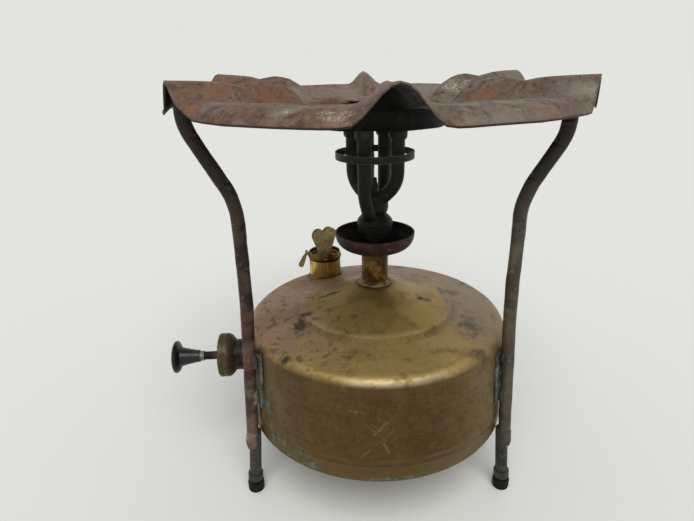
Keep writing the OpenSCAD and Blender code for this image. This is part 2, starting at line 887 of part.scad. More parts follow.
// A patch of the wall's shape that lies on the wall, of a thickness and a width
module wall_patch(t, w) {
    z0 = bracket_mid - bracket_h / 2;
    z1 = z0 + bracket_h;
    intersection() {
        rotate_extrude($fn = 128)
            polygon([
                [wall_r(z0) + joint_gap, z0], [wall_r(z0) + t, z0],
                [wall_r(z1) + t, z1], [wall_r(z1) + joint_gap, z1]]);
        translate([tank_r - 4, -w / 2, z0 - 1])
            cube([14, w, bracket_h + 2]);
    }
}

// Plate soldered on the tank wall with a rib to which the leg is brazed
module bracket(az) {
    rib_w = 4.4;
    color(STEEL)
        facing(az)
            difference() {
                union() {
                    wall_patch(bracket_t, bracket_w);
                    wall_patch(bracket_t + 2.6, rib_w);
                }
                translate([leg_foot_r, 0, lap_z])
                    rotate([0, -leg_lean, 0])
                        cylinder(d = leg_d + 2 * joint_gap, h = leg_run);
            }
}

// ---- Pot plate ----

// Height of the plate between its ridges, by radius and by the skirt's share of its
// full depth: dish, bead, groove and skirt
function flat_top(r, skirt) =
    let (full = lookup(r, [
            [hole_r, -plate_rim_h], [hole_r + 0.3, -2.2], [hole_r + 0.9, -0.7], [hole_r + 2, 0],
            [hole_r + 3.4, 0.6], [hole_r + 7, 1.2], [plate_r - 22, 5.4],
            [plate_r - 17.5, 6.5], [plate_r - 15.5, 5.7], [plate_r - 13, 6.3],
            [plate_r - 8, 5.5], [plate_r - 4, 3.6], [plate_r - 1.2, 1.2], [plate_r, 0]]),
         level = 6.3)
        skirt_z + (r > plate_r - 13 ? level - skirt * (level - full) : full);

// Height of a ridge's crest by radius: a hump, a dip and the long outer stretch
function crest_top(r) = plate_z + lookup(r, [
    [hole_r, -ridge_h - plate_rim_h], [hole_r + 2, -ridge_h], [hole_r + 3, -ridge_h],
    [hole_r + 6, -11], [hole_r + 10, -6.4], [hole_r + 17, -2.9], [hole_r + 22, -1.7],
    [hole_r + 28, -1.2], [hole_r + 34, -2], [hole_r + 40, -3], [hole_r + 46, -1.7],
    [hole_r + 52, -1], [plate_r - 11, -0.4], [plate_r, 0]]);

// Height of the plate's upper face at a radius and a turn from the nearest ridge.
// The ridges over the legs are narrower, and a worn skirt is shallow beside them.
function plate_top(r, turn, over_leg, worn = false) =
    let (half = (over_leg ? leg_ridge_w : ridge_w) / 2 * (0.44 + 0.56 * (r - hole_r) / (plate_r - hole_r)),
         u = min(1, abs(turn) * PI / 180 * r / half),
         skirt = worn ? (1 - cos(180 * min(1, max(0, (abs(turn) - 5) / 10)))) / 2 : 1,
         flat = flat_top(r, skirt),
         crest = crest_top(r) + (over_leg ? 0 : ridge_extra))
        flat + max(0, crest - flat) * (1 + cos(180 * u)) / 2;

plate_rings = concat(
    [for (d = [0, 0.3, 0.9, 2, 3.4, 7, 11, 17, 22, 28, 34, 40, 46, 52]) hole_r + d],
    [for (d = [17.5, 15.5, 13, 11, 8, 4, 1.2, 0]) plate_r - d]);
// How far the lower face lies outwards of and below the upper one in the first
// rings, which turn down into the rim, in sheet thicknesses
RIM_FACE = [[1, 0], [1, 0.3], [0.8, 0.65], [0.3, 1]];
ridge_turns = [0, 1.6, 3.2, 4.8, 6.6, 8.6, 11, 14, 18, 24, 30];
plate_turns = [for (k = [0 : 5])
    each concat(
        [for (i = [len(ridge_turns) - 2 : -1 : 1]) 60 * k - ridge_turns[i]],
        [for (t = ridge_turns) 60 * k + t])];

// One pressed sheet, swept round as rings of points on its upper and lower face
module pot_plate() {
    rings = len(plate_rings);
    spokes = len(plate_turns);
    function face_points(lower) = [for (a = plate_turns)
        let (k = round(a / 60), turn = a - 60 * k, worn = k == 4 && turn > 0)
            for (i = [0 : rings - 1])
                let (shift = lower * plate_t * (i < len(RIM_FACE) ? RIM_FACE[i] : [0, 1]),
                     r = plate_rings[i] + shift[0])
                    [r * cos(a), r * sin(a),
                     plate_top(plate_rings[i], turn, k % 2 == 0, worn) - shift[1] - plate_z]];
    half = spokes * rings;
    quads = [for (i = [0 : spokes - 1])
        let (n = (i + 1) % spokes)
            for (k = [0 : rings - 2])
                [i * rings + k, i * rings + k + 1, n * rings + k + 1, n * rings + k]];
    uppers = [for (q = quads) each [[q[0], q[2], q[1]], [q[0], q[3], q[2]]]];
    lowers = [for (f = uppers) [half + f[0], half + f[2], half + f[1]]];
    edges = [for (i = [0 : spokes - 1])
        let (n = (i + 1) % spokes, a = i * rings, b = n * rings, c = a + rings - 1, d = b + rings - 1)
            each [[a, half + a, b], [b, half + a, half + b], [c, d, half + c], [d, half + d, half + c]]];
    color(PLATE)
        facing(LEG_AZ[1])
            translate([0, 0, plate_z])
                rotate([0, plate_lean, 0])
                    rotate([0, 0, plate_turn])
                        polyhedron(points = concat(face_points(0), face_points(1)),
                            faces = concat(uppers, lowers, edges), convexity = 10);
}

tank_shell();
tank_base();
riser_collar();
riser_tube();
pickup_tube();
priming_cup();
burner_gasket();
burner_base();
burner_tube(tube_az, RISING);  // burner_tube_fl
burner_tube(tube_az + 90, RETURNING);  // burner_tube_fr
burner_tube(tube_az + 180, RISING);  // burner_tube_rr
burner_tube(tube_az + 270, RETURNING);  // burner_tube_rl
burner_head();
jet_nipple();
flame_ring();
flame_spreader();
burner_band();
pump_barrel();
pump_cap();
pump_cap_washer();
pump_rod();
pump_knob();
knob_ferrule();
piston_plate();
piston_nut();
leather_cup();
rod_spring();
valve_body();
valve_stop();
valve_pip();
valve_spring();
filler_neck();
filler_gasket();
filler_cap();
cap_wing();
air_screw();
bracket(LEG_AZ[0]);  // bracket_left
bracket(LEG_AZ[1]);  // bracket_right
bracket(LEG_AZ[2]);  // bracket_rear
leg(0);  // leg_left
leg(1);  // leg_right
leg(2);  // leg_rear
foot_post(LEG_AZ[0]);  // foot_post_left
foot_post(LEG_AZ[1]);  // foot_post_right
foot_post(LEG_AZ[2]);  // foot_post_rear
foot_ferrule(LEG_AZ[0]);  // foot_ferrule_left
foot_ferrule(LEG_AZ[1]);  // foot_ferrule_right
foot_ferrule(LEG_AZ[2]);  // foot_ferrule_rear
rubber_foot(LEG_AZ[0]);  // rubber_foot_left
rubber_foot(LEG_AZ[1]);  // rubber_foot_right
rubber_foot(LEG_AZ[2]);  // rubber_foot_rear
pot_plate();
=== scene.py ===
"""Looks of a brass pressure stove: aged tank, sooty burner, rusty rod legs and a heat-stained pot plate."""
import math

import bmesh
import bpy
from mathutils import Matrix, Vector, noise


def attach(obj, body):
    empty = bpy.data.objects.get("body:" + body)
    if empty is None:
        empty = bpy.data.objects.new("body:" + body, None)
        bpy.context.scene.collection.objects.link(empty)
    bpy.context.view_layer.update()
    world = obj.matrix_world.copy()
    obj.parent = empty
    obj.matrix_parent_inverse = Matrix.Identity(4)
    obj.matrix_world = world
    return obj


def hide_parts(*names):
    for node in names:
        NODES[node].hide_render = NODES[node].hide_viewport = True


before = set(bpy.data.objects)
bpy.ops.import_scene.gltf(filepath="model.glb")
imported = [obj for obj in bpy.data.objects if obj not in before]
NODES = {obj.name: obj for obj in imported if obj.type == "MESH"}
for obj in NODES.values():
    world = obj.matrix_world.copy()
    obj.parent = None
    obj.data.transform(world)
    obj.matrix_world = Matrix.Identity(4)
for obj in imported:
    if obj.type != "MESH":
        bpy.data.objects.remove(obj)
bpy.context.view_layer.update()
scene = bpy.context.scene
scene.view_settings.view_transform = "Standard"


# ---- Camera ----
# A hand-held camera about 0.3 m from the stove, looking down at it, with a wide
# lens and a small roll.

EYE = Vector((-0.013452, -0.296235, 0.25578))
GAZE = Vector((-0.013148, 0.931314, -0.363979)).normalized()
LENS_MM = 26.02
SENSOR_MM = 36.0
ROLL = math.radians(-1.26)

level_right = GAZE.cross(Vector((0, 0, 1))).normalized()
level_up = level_right.cross(GAZE)
right = level_right * math.cos(ROLL) + level_up * math.sin(ROLL)
up = right.cross(GAZE)
lens = bpy.data.cameras.new("camera")
lens.lens = LENS_MM
lens.sensor_width = SENSOR_MM
lens.clip_start = 0.01
lens.clip_end = 50
camera = bpy.data.objects.new("camera", lens)
camera.matrix_world = Matrix((
    (right.x, up.x, -GAZE.x, EYE.x), (right.y, up.y, -GAZE.y, EYE.y),
    (right.z, up.z, -GAZE.z, EYE.z), (0, 0, 0, 1)))
scene.collection.objects.link(camera)
scene.camera = camera


# ---- Studio ----
# A pale seamless floor under a white sky, and one broad lamp high in front, a
# little to the right. Seen directly or in a gloss, the sky has the floor's colour.

PALE = (0.765, 0.772, 0.735, 1)
SKY_LEVEL = 0.52
LAMP_LEVEL = 1.86
LAMP_SPREAD = math.radians(45)
LAMP_TURN = (math.radians(34), math.radians(4), 0)
FLOOR_HALF = 12


class Finish:
    """A material and its Principled shader, with a short way to place and join nodes."""

    def __init__(self, name, **settings):
        self.material = bpy.data.materials.new(name)
        self.material.use_nodes = True
        self.tree = self.material.node_tree
        self.shader = self.tree.nodes["Principled BSDF"]
        self.where = self.put("ShaderNodeTexCoord").outputs["Object"]
        self.set(**settings)

    def set(self, **settings):
        for socket, value in settings.items():
            fill(self.tree, self.shader.inputs[socket.replace("_", " ")], value)

    def put(self, kind, inputs=None, **options):
        return put(self.tree, kind, inputs, **options)

    def dress(self, *objects):
        for piece in objects:
            piece.data.materials.clear()
            piece.data.materials.append(self.material)


def fill(tree, socket, value):
    if isinstance(value, bpy.types.NodeSocket):
        tree.links.new(value, socket)
    elif value is not None:
        if socket.type == "RGBA" and len(value) == 3:
            value = (*value, 1)
        socket.default_value = value


def put(tree, kind, inputs=None, **options):
    made = tree.nodes.new(kind)
    for key, value in options.items():
        setattr(made, key, value)
    for key, value in (inputs or {}).items():
        fill(tree, made.inputs[key], value)
    return made


def floor_disc():
    mesh = bmesh.new()
    bmesh.ops.create_circle(mesh, cap_ends=True, segments=96, radius=FLOOR_HALF)
    data = bpy.data.meshes.new("floor")
    mesh.to_mesh(data)
    mesh.free()
    piece = bpy.data.objects.new("floor", data)
    scene.collection.objects.link(piece)
    return piece


floor = floor_disc()
Finish("pale_floor", Base_Color=PALE, Roughness=1.0, Specular_IOR_Level=0.0).dress(floor)

sky = bpy.data.worlds.new("sky")
scene.world = sky
sky.use_nodes = True
sky_tree = sky.node_tree
sky_tree.nodes.clear()
ray = put(sky_tree, "ShaderNodeLightPath")
seen = put(sky_tree, "ShaderNodeMath", {0: ray.outputs["Is Camera Ray"], 1: ray.outputs["Is Glossy Ray"]},
           operation="MAXIMUM")
seen = put(sky_tree, "ShaderNodeMath", {0: seen.outputs[0], 1: ray.outputs["Is Transmission Ray"]},
           operation="MAXIMUM")
light_sky = put(sky_tree, "ShaderNodeBackground", {"Color": (1, 1, 1, 1), "Strength": SKY_LEVEL})
seen_sky = put(sky_tree, "ShaderNodeBackground", {"Color": PALE, "Strength": 1.0})
both = put(sky_tree, "ShaderNodeMixShader",
           {0: seen.outputs[0], 1: light_sky.outputs[0], 2: seen_sky.outputs[0]})
put(sky_tree, "ShaderNodeOutputWorld", {"Surface": both.outputs[0]})

lamp_data = bpy.data.lights.new("broad_lamp", "SUN")
lamp_data.energy = LAMP_LEVEL
lamp_data.angle = LAMP_SPREAD
lamp = bpy.data.objects.new("broad_lamp", lamp_data)
lamp.rotation_euler = LAMP_TURN
scene.collection.objects.link(lamp)


# ---- Ageing that several metals share ----
# Stains with ragged outlines, cloudy patches, streaks left by brushing, single
# scratches and edges rubbed clean.

def group(name, inputs, output):
    """A shader node group with named inputs and one output; gives its tree, its inputs and its output."""
    tree = bpy.data.node_groups.new(name, "ShaderNodeTree")
    for label, kind, value in inputs:
        made = tree.interface.new_socket(label, in_out="INPUT", socket_type="NodeSocket" + kind)
        if value is not None:
            made.default_value = value
    tree.interface.new_socket(output, in_out="OUTPUT", socket_type="NodeSocketFloat")
    return tree, tree.nodes.new("NodeGroupInput").outputs, tree.nodes.new("NodeGroupOutput").inputs[output]


def arithmetic(tree, operation, *values):
    return put(tree, "ShaderNodeMath", dict(enumerate(values)), operation=operation).outputs[0]


def vector(tree, operation, *values):
    made = put(tree, "ShaderNodeVectorMath", dict(enumerate(values)), operation=operation)
    return made.outputs["Value" if operation in ("LENGTH", "DOT_PRODUCT", "DISTANCE") else "Vector"]


def ramp(tree, value, low, high, to_low=0.0, to_high=1.0):
    """A smooth step of a value between two levels."""
    limits = {"Value": value, "From Min": low, "From Max": high, "To Min": to_low, "To Max": to_high}
    return put(tree, "ShaderNodeMapRange", limits, interpolation_type="SMOOTHSTEP").outputs["Result"]


def speckle(tree, at, scale, detail=3.0, rough=0.5):
    settings = {"Vector": at, "Scale": scale, "Detail": detail, "Roughness": rough}
    return put(tree, "ShaderNodeTexNoise", settings).outputs["Fac"]


def stain_group():
    tree, given, result = group("stain", [
        ("At", "Vector", None), ("Centre", "Vector", None), ("Reach", "Vector", None),
        ("Ragged", "Float", 0.5), ("Grain", "Float", 120.0), ("Core", "Float", 0.55)], "Mask")
    offset = vector(tree, "DIVIDE", vector(tree, "SUBTRACT", given["At"], given["Centre"]), given["Reach"])
    rough = speckle(tree, given["At"], given["Grain"], 6.0, 0.66)
    uneven = arithmetic(tree, "MULTIPLY", arithmetic(tree, "SUBTRACT", rough, 0.5), given["Ragged"])
    reach = arithmetic(tree, "MULTIPLY_ADD", uneven, 4.0, vector(tree, "LENGTH", offset))
    fill(tree, result, ramp(tree, reach, 1.15, given["Core"]))
    return tree


def cloud_group():
    tree, given, result = group("cloud", [
        ("At", "Vector", None), ("Scale", "Float", 40.0),
        ("Low", "Float", 0.45), ("High", "Float", 0.6)], "Mask")
    clouds = speckle(tree, given["At"], given["Scale"], 6.0, 0.6)
    fill(tree, result, ramp(tree, clouds, given["Low"], given["High"]))
    return tree


def streak_group():
    tree, given, result = group("streak", [
        ("At", "Vector", None), ("Stretch", "Vector", (8.0, 8.0, 900.0)), ("Low", "Float", 0.35),
        ("High", "Float", 0.7)], "Mask")
    drawn = vector(tree, "MULTIPLY", given["At"], given["Stretch"])
    fill(tree, result, ramp(tree, speckle(tree, drawn, 1.0, 4.0, 0.7), given["Low"], given["High"]))
    return tree


def scratch_group():
    tree, given, result = group("scratch", [
        ("At", "Vector", None), ("From", "Vector", None), ("To", "Vector", None),
        ("Width", "Float", 0.0004)], "Mask")
    run = vector(tree, "SUBTRACT", given["To"], given["From"])
    off = vector(tree, "SUBTRACT", given["At"], given["From"])
    share = arithmetic(tree, "DIVIDE", vector(tree, "DOT_PRODUCT", off, run),
                       vector(tree, "DOT_PRODUCT", run, run))
    share = put(tree, "ShaderNodeMapRange", {"Value": share}, clamp=True).outputs["Result"]
    along = put(tree, "ShaderNodeVectorMath", {0: run, "Scale": share}, operation="SCALE").outputs["Vector"]
    gap = vector(tree, "LENGTH", vector(tree, "SUBTRACT", off, along))
    rough = speckle(tree, given["At"], 620.0)
    width = arithmetic(tree, "MULTIPLY", given["Width"], arithmetic(tree, "MULTIPLY", rough, 2.0))
    line = ramp(tree, arithmetic(tree, "DIVIDE", gap, width), 1.2, 0.1)
    fill(tree, result, arithmetic(tree, "MULTIPLY", line, ramp(tree, rough, 0.30, 0.60)))
    return tree


def worn_edge_group():
    tree, given, result = group("worn_edge", [("Width", "Float", 0.0006), ("Gain", "Float", 1.0)], "Mask")
    rounded = put(tree, "ShaderNodeBevel", {"Radius": given["Width"]}, samples=6)
    plain = put(tree, "ShaderNodeNewGeometry")
    turn = vector(tree, "DOT_PRODUCT", rounded.outputs["Normal"], plain.outputs["Normal"])
    bent = arithmetic(tree, "MULTIPLY", arithmetic(tree, "SUBTRACT", 1.0, turn), given["Gain"])
    fill(tree, result, ramp(tree, bent, 0.02, 0.2))
    return tree


AGEING = {"stain": stain_group(), "cloud": cloud_group(), "streak": streak_group(),
          "scratch": scratch_group(), "worn_edge": worn_edge_group()}


def aged(finish, kind, **values):
    """One mask of the ageing groups, placed in a finish."""
    made = put(finish.tree, "ShaderNodeGroup", node_tree=AGEING[kind])
    if "At" in made.inputs and "At" not in values:
        values["At"] = finish.where
    for label, value in values.items():
        fill(finish.tree, made.inputs[label], value)
    return made.outputs["Mask"]


def cloud(finish, scale, low=0.42, high=0.62, share=1.0):
    """Cloudy patches that cover a surface at most by a share."""
    return part_of(finish, aged(finish, "cloud", Scale=scale, Low=low, High=high), share)


def part_of(finish, mask, share):
    """A mask thinned to a share of its strength."""
    return mask if share == 1.0 else arithmetic(finish.tree, "MULTIPLY", mask, share)


def tint(finish, mask, under, over):
    """Colour over colour where a mask says."""
    made = put(finish.tree, "ShaderNodeMix", data_type="RGBA", blend_type="MIX")
    for socket, value in ((0, mask), (6, under), (7, over)):
        fill(finish.tree, made.inputs[socket], value)
    return made.outputs[2]


def layers(finish, colour, *coats):
    """Coats of colour, each with the mask that says where it lies."""
    for mask, over in coats:
        colour = tint(finish, mask, colour, over)
    return colour


def blend_value(finish, mask, low, high):
    """One number where a mask is empty, and another where it is full."""
    return put(finish.tree, "ShaderNodeMix", {0: mask, 2: low, 3: high}, data_type="FLOAT").outputs[0]


def most(finish, *masks):
    """The strongest of several masks at each place."""
    result = masks[0]
    for mask in masks[1:]:
        result = arithmetic(finish.tree, "MAXIMUM", result, mask)
    return result


def crossed(finish, *masks):
    """Only where all of several masks lie."""
    result = masks[0]
    for mask in masks[1:]:
        result = arithmetic(finish.tree, "MULTIPLY", result, mask)
    return result


def band(finish, value, start, full, fade, end):
    """A mask that rises between two levels of a value, and fades out between two more."""
    return crossed(finish, ramp(finish.tree, value, start, full), ramp(finish.tree, value, end, fade))


def stains(finish, places, ragged, grain, core):
    """Stains with ragged outlines, each given by its centre and how far it reaches."""
    return most(finish, *[aged(finish, "stain", Centre=centre, Reach=reach, Ragged=ragged, Grain=grain,
                               Core=core) for centre, reach in places])


def bumped(finish, height, distance, strength, normal=None):
    settings = {"Height": height, "Distance": distance, "Strength": strength, "Normal": normal}
    return put(finish.tree, "ShaderNodeBump", settings).outputs["Normal"]


def grained(finish, scale, distance, strength):
    """The fine roughness that the light picks out on a surface."""
    return bumped(finish, cloud(finish, scale, 0.3, 0.7), distance, strength)


def split(finish, value):
    return put(finish.tree, "ShaderNodeSeparateXYZ", {0: value}).outputs


def facing_up(finish):
    return split(finish, put(finish.tree, "ShaderNodeNewGeometry").outputs["Normal"])["Z"]


# ---- Tank ----
# Spun brass sheet, soldered to a pressed base. The top has gone mauve-brown at
# the back and the sides, and is olive gold in front. The wall is painted darker
# than the top, partly tarnish and partly painted shade, with painted sheen at its
# sides; the shoulder is rubbed and carries a painted highlight on its front. The
# sheet is a little dented all over.

# The wall colours are darker than the top colours: partly tarnish, partly painted shade standing in for the
# darker surroundings that the wall reflects.
WALL_OLIVE = (0.100, 0.065, 0.0185)
WALL_BROWN = (0.072, 0.039, 0.0085)
WALL_GOLD = (0.170, 0.115, 0.0400)
WALL_LEFT_SHEEN = (0.125, 0.082, 0.034)
WALL_GRIT = (0.050, 0.029, 0.009)
WALL_FOOT = (0.135, 0.088, 0.030)
TOP_MAUVE = (0.290, 0.180, 0.1080)
TOP_GREY = (0.290, 0.215, 0.1350)
TOP_GOLD = (0.385, 0.268, 0.0980)
TOP_BROWN = (0.150, 0.083, 0.0340)
TOP_RUST = (0.290, 0.150, 0.070)
TOP_GRIT = (0.160, 0.100, 0.050)
TOP_SCRIBBLE = (0.060, 0.036, 0.022)
DOME_OLIVE = (0.255, 0.180, 0.0520)
DOME_GOLD = (0.400, 0.285, 0.0950)
DOME_BROWN = (0.165, 0.098, 0.0300)
DOME_RUST = (0.270, 0.150, 0.0600)
BRASS_POLISH_HIGHLIGHT = (0.52, 0.45, 0.30)
TARNISH_BLACK = (0.020, 0.023, 0.017)
TARNISH_GREEN = (0.042, 0.052, 0.036)
VERDIGRIS_DEEP = (0.050, 0.080, 0.052)
VERDIGRIS_PALE = (0.165, 0.205, 0.140)
FLUX_ORANGE = (0.30, 0.16, 0.035)
SCRATCH_PALE = (0.215, 0.210, 0.135)
SHOULDER_BROWN = (0.100, 0.056, 0.030)
STEP_SHADE_BROWN = (0.05, 0.035, 0.02)
SHOULDER_Z = 0.101
SEAM_Z = 0.0545
STEP_R = 0.0475
NECK_AT = (-0.03505, 0.05585)
PUMP_HOLE = Vector((-0.084, -0.0042, 0.0762))

brass = Finish("aged_brass", Metallic=0.55, Specular_IOR_Level=0.22)
place = split(brass, brass.where)
flat_place = vector(brass.tree, "MULTIPLY", brass.where, (1, 1, 0))
radius = vector(brass.tree, "LENGTH", flat_place)
front = arithmetic(brass.tree, "DIVIDE", arithmetic(brass.tree, "MULTIPLY", place["Y"], -1.0), radius)
side = arithmetic(brass.tree, "DIVIDE", place["X"], radius)
wander = arithmetic(brass.tree, "SUBTRACT", cloud(brass, 24, 0.3, 0.7), 0.5)
front_reach = arithmetic(brass.tree, "MULTIPLY_ADD", wander, 0.45, front)
right_reach = arithmetic(brass.tree, "MULTIPLY_ADD", wander, 0.6, side)
# The top colour starts a little above the shoulder's foot, so the shoulder's lower part keeps the wall's
# darker colour, which is partly painted shade.
on_top = ramp(brass.tree, place["Z"], SHOULDER_Z - 0.0005, SHOULDER_Z + 0.0052)

wall_streaks = aged(brass, "streak", Stretch=(16, 16, 300), Low=0.3, High=0.72)
patches = cloud(brass, 30, 0.40, 0.62)
small_patches = cloud(brass, 95, 0.42, 0.66)
wall_colour = layers(brass, WALL_OLIVE,
                     (patches, WALL_BROWN),
                     (part_of(brass, wall_streaks, 0.28), WALL_GOLD),
                     # Painted reflection by direction: the wall's right and left sides are painted lighter,
                     # and its middle, facing front, darker brown.
                     (part_of(brass, ramp(brass.tree, side, 0.30, 0.80), 0.75), WALL_GOLD),
                     (part_of(brass, ramp(brass.tree, side, -0.30, -0.75), 0.45), WALL_LEFT_SHEEN),
                     (part_of(brass, ramp(brass.tree, front, 0.86, 0.99), 0.55), WALL_BROWN),
                     (cloud(brass, 150, 0.50, 0.64, 0.55), WALL_BROWN),
                     (cloud(brass, 60, 0.55, 0.70, 0.30), WALL_GOLD),
                     (cloud(brass, 330, 0.50, 0.68, 0.55), WALL_GRIT),
                     (cloud(brass, 520, 0.56, 0.70, 0.45), WALL_GOLD),
                     (part_of(brass, ramp(brass.tree, place["Z"], 0.057, 0.0535), 0.5), WALL_FOOT))

mottling = crossed(brass, cloud(brass, 60, 0.45, 0.62), part_of(brass, small_patches, 0.8))
rim_colour = layers(brass, TOP_MAUVE,
                    (ramp(brass.tree, right_reach, 0.35, 0.85), TOP_GREY),
                    (ramp(brass.tree, front_reach, 0.30, 0.78), TOP_GOLD),
                    (mottling, TOP_BROWN),
                    (cloud(brass, 42, 0.56, 0.68, 0.5), TOP_RUST),
                    (cloud(brass, 340, 0.50, 0.68, 0.35), TOP_GRIT))
dome_colour = layers(brass, DOME_OLIVE,
                     (part_of(brass, ramp(brass.tree, right_reach, 0.10, 0.75), 0.8), DOME_GOLD),
                     (cloud(brass, 40, 0.48, 0.62, 0.6), DOME_BROWN),
                     (cloud(brass, 120, 0.50, 0.66, 0.35), DOME_RUST),
                     (ramp(brass.tree, front_reach, -0.15, -0.75), TOP_MAUVE))
top_colour = tint(brass, ramp(brass.tree, radius, STEP_R, 0.0435), rim_colour, dome_colour)
# Wall colour below the shoulder, top colour above; the wall's darker tone is partly painted shade.
colour = tint(brass, on_top, wall_colour, top_colour)

# Each stain is a centre and how far it reaches; each scratch is its two ends.
LEFT_MAUVE = (((-0.060, -0.020, 0.107), (0.034, 0.046, 0.010)),
              ((-0.050, 0.030, 0.107), (0.040, 0.040, 0.012)))
DARK_SPOTS = (((0.0283, -0.0095, 0.1172), (0.0072, 0.0036, 0.006)),
              ((-0.0465, -0.0285, 0.1095), (0.0042, 0.0110, 0.006)),
              ((-0.0442, -0.0186, 0.1114), (0.0060, 0.0030, 0.006)),
              ((-0.0290, -0.0030, 0.1175), (0.0085, 0.0022, 0.006)),
              ((-0.0522, -0.0592, 0.1043), (0.0035, 0.0030, 0.004)),
              ((0.0200, 0.0450, 0.1100), (0.0080, 0.0050, 0.006)))
GREEN_SPOTS = (((0.0560, -0.0300, 0.1080), (0.0090, 0.0130, 0.006)),
               ((0.0540, -0.0560, 0.1055), (0.0080, 0.0050, 0.006)),
               ((0.0450, 0.0050, 0.1090), (0.0050, 0.0160, 0.006)))
VERDIGRIS = (((-0.0560, -0.0620, 0.0500), (0.0200, 0.0180, 0.0075)),
             ((-0.0400, -0.0730, 0.0470), (0.0120, 0.0100, 0.0045)),
             ((-0.0655, -0.0520, 0.0690), (0.0045, 0.0060, 0.0110)),
             ((0.0586, -0.0590, 0.0860), (0.0045, 0.0040, 0.0030)),
             ((0.0655, -0.0520, 0.0620), (0.0030, 0.0040, 0.0200)),
             ((0.0100, -0.0829, 0.0440), (0.0280, 0.0050, 0.0022)),
             ((0.0, 0.0850, 0.0600), (0.0300, 0.0100, 0.0120)),
             ((-0.0800, 0.0250, 0.0560), (0.0080, 0.0200, 0.0060)))
BRACKET_FLUX = (((-0.0690, -0.0478, 0.0640), (0.0016, 0.0020, 0.0160)),)
BROAD_SCRATCHES = (((0.0025, -0.0834, 0.0815), (-0.0040, -0.0838, 0.0735)),
                   ((0.0010, -0.0838, 0.0682), (0.0052, -0.0838, 0.0590)),
                   ((-0.0112, -0.0832, 0.0585), (-0.0068, -0.0835, 0.0640)))
FINE_SCRATCHES = (((-0.0255, -0.0797, 0.0765), (-0.0205, -0.0811, 0.0742)),
                  ((-0.0090, -0.0832, 0.0805), (0.0020, -0.0838, 0.0700)),
                  ((-0.0060, -0.0834, 0.0800), (0.0010, -0.0838, 0.0760)),
                  ((0.0060, -0.0834, 0.0760), (-0.0030, -0.0838, 0.0670)),
                  ((-0.0180, -0.0815, 0.0880), (-0.0080, -0.0825, 0.0868)),
                  ((0.0250, -0.0800, 0.0940), (0.0330, -0.0760, 0.0905)))
BROAD_WIDTH = 0.0011
FINE_WIDTH = 0.0005

mauve = crossed(brass, on_top, stains(brass, LEFT_MAUVE, 0.5, 60, 0.4))
scribbled = crossed(brass, on_top, cloud(brass, 210, 0.53, 0.62),
                    ramp(brass.tree, side, -0.05, -0.45), ramp(brass.tree, radius, 0.020, 0.035))
spots = stains(brass, DARK_SPOTS, 0.85, 190, 0.25)
green_spots = stains(brass, GREEN_SPOTS, 0.95, 130, 0.1)
green = crossed(brass, stains(brass, VERDIGRIS, 0.95, 170, 0.3), cloud(brass, 300, 0.36, 0.56))
green_colour = tint(brass, cloud(brass, 260, 0.42, 0.60), VERDIGRIS_DEEP, VERDIGRIS_PALE)
orange_edge = stains(brass, BRACKET_FLUX, 0.5, 200, 0.4)
scratched = most(brass, *[aged(brass, "scratch", From=start, To=end, Width=width)
                          for width, ends in ((BROAD_WIDTH, BROAD_SCRATCHES), (FINE_WIDTH, FINE_SCRATCHES))
                          for start, end in ends])

# Painted highlight: a bright, polished band on the shoulder's corner, only on the side that faces the lamp,
# where the brass is also rubbed.
toward_lamp = arithmetic(brass.tree, "MULTIPLY_ADD", side, 0.16, front)
shoulder = crossed(brass, band(brass, radius, 0.0785, 0.0800, 0.0810, 0.0822),
                   ramp(brass.tree, place["Z"], 0.1000, 0.1020), ramp(brass.tree, toward_lamp, 0.87, 0.985))
rubbed_with_painted_highlight = crossed(brass, shoulder, cloud(brass, 130, 0.34, 0.56))
# Painted highlight along the front of the dome's raised step.
step_highlight = crossed(brass, band(brass, radius, 0.0462, 0.0472, 0.0482, 0.0492),
                    ramp(brass.tree, front, 0.25, 0.7), cloud(brass, 90, 0.34, 0.55))
polish_and_painted_highlights = most(brass, rubbed_with_painted_highlight, part_of(brass, step_highlight, 0.45))

under_shoulder = crossed(brass, band(brass, place["Z"], 0.0925, 0.0965, 0.0990, 0.1015),
                         aged(brass, "streak", Stretch=(30, 30, 700), Low=0.42, High=0.6))
specks = crossed(brass, cloud(brass, 430, 0.62, 0.72), cloud(brass, 55, 0.45, 0.6))
seam_dirt = band(brass, place["Z"], SEAM_Z - 0.0022, SEAM_Z - 0.0008, SEAM_Z - 0.0006, SEAM_Z + 0.0010)
# Painted highlight: a lighter line on the seam's bead, just above the seam.
seam_highlight = crossed(brass, band(brass, place["Z"], SEAM_Z + 0.0008, SEAM_Z + 0.0016,
                                 SEAM_Z + 0.0024, SEAM_Z + 0.0034), cloud(brass, 60, 0.4, 0.6))
collar_dirt = crossed(brass, on_top, ramp(brass.tree, radius, 0.0145, 0.0110))
neck_gap = vector(brass.tree, "DISTANCE", flat_place, (*NECK_AT, 0))
neck_dirt = crossed(brass, on_top, ramp(brass.tree, neck_gap, 0.0165, 0.0120))
# Painted shade: a brown ring just outside the dome's step, where its edge drops to the annulus.
step_shade = crossed(brass, on_top, band(brass, radius, 0.0485, 0.0500, 0.0512, 0.0545))

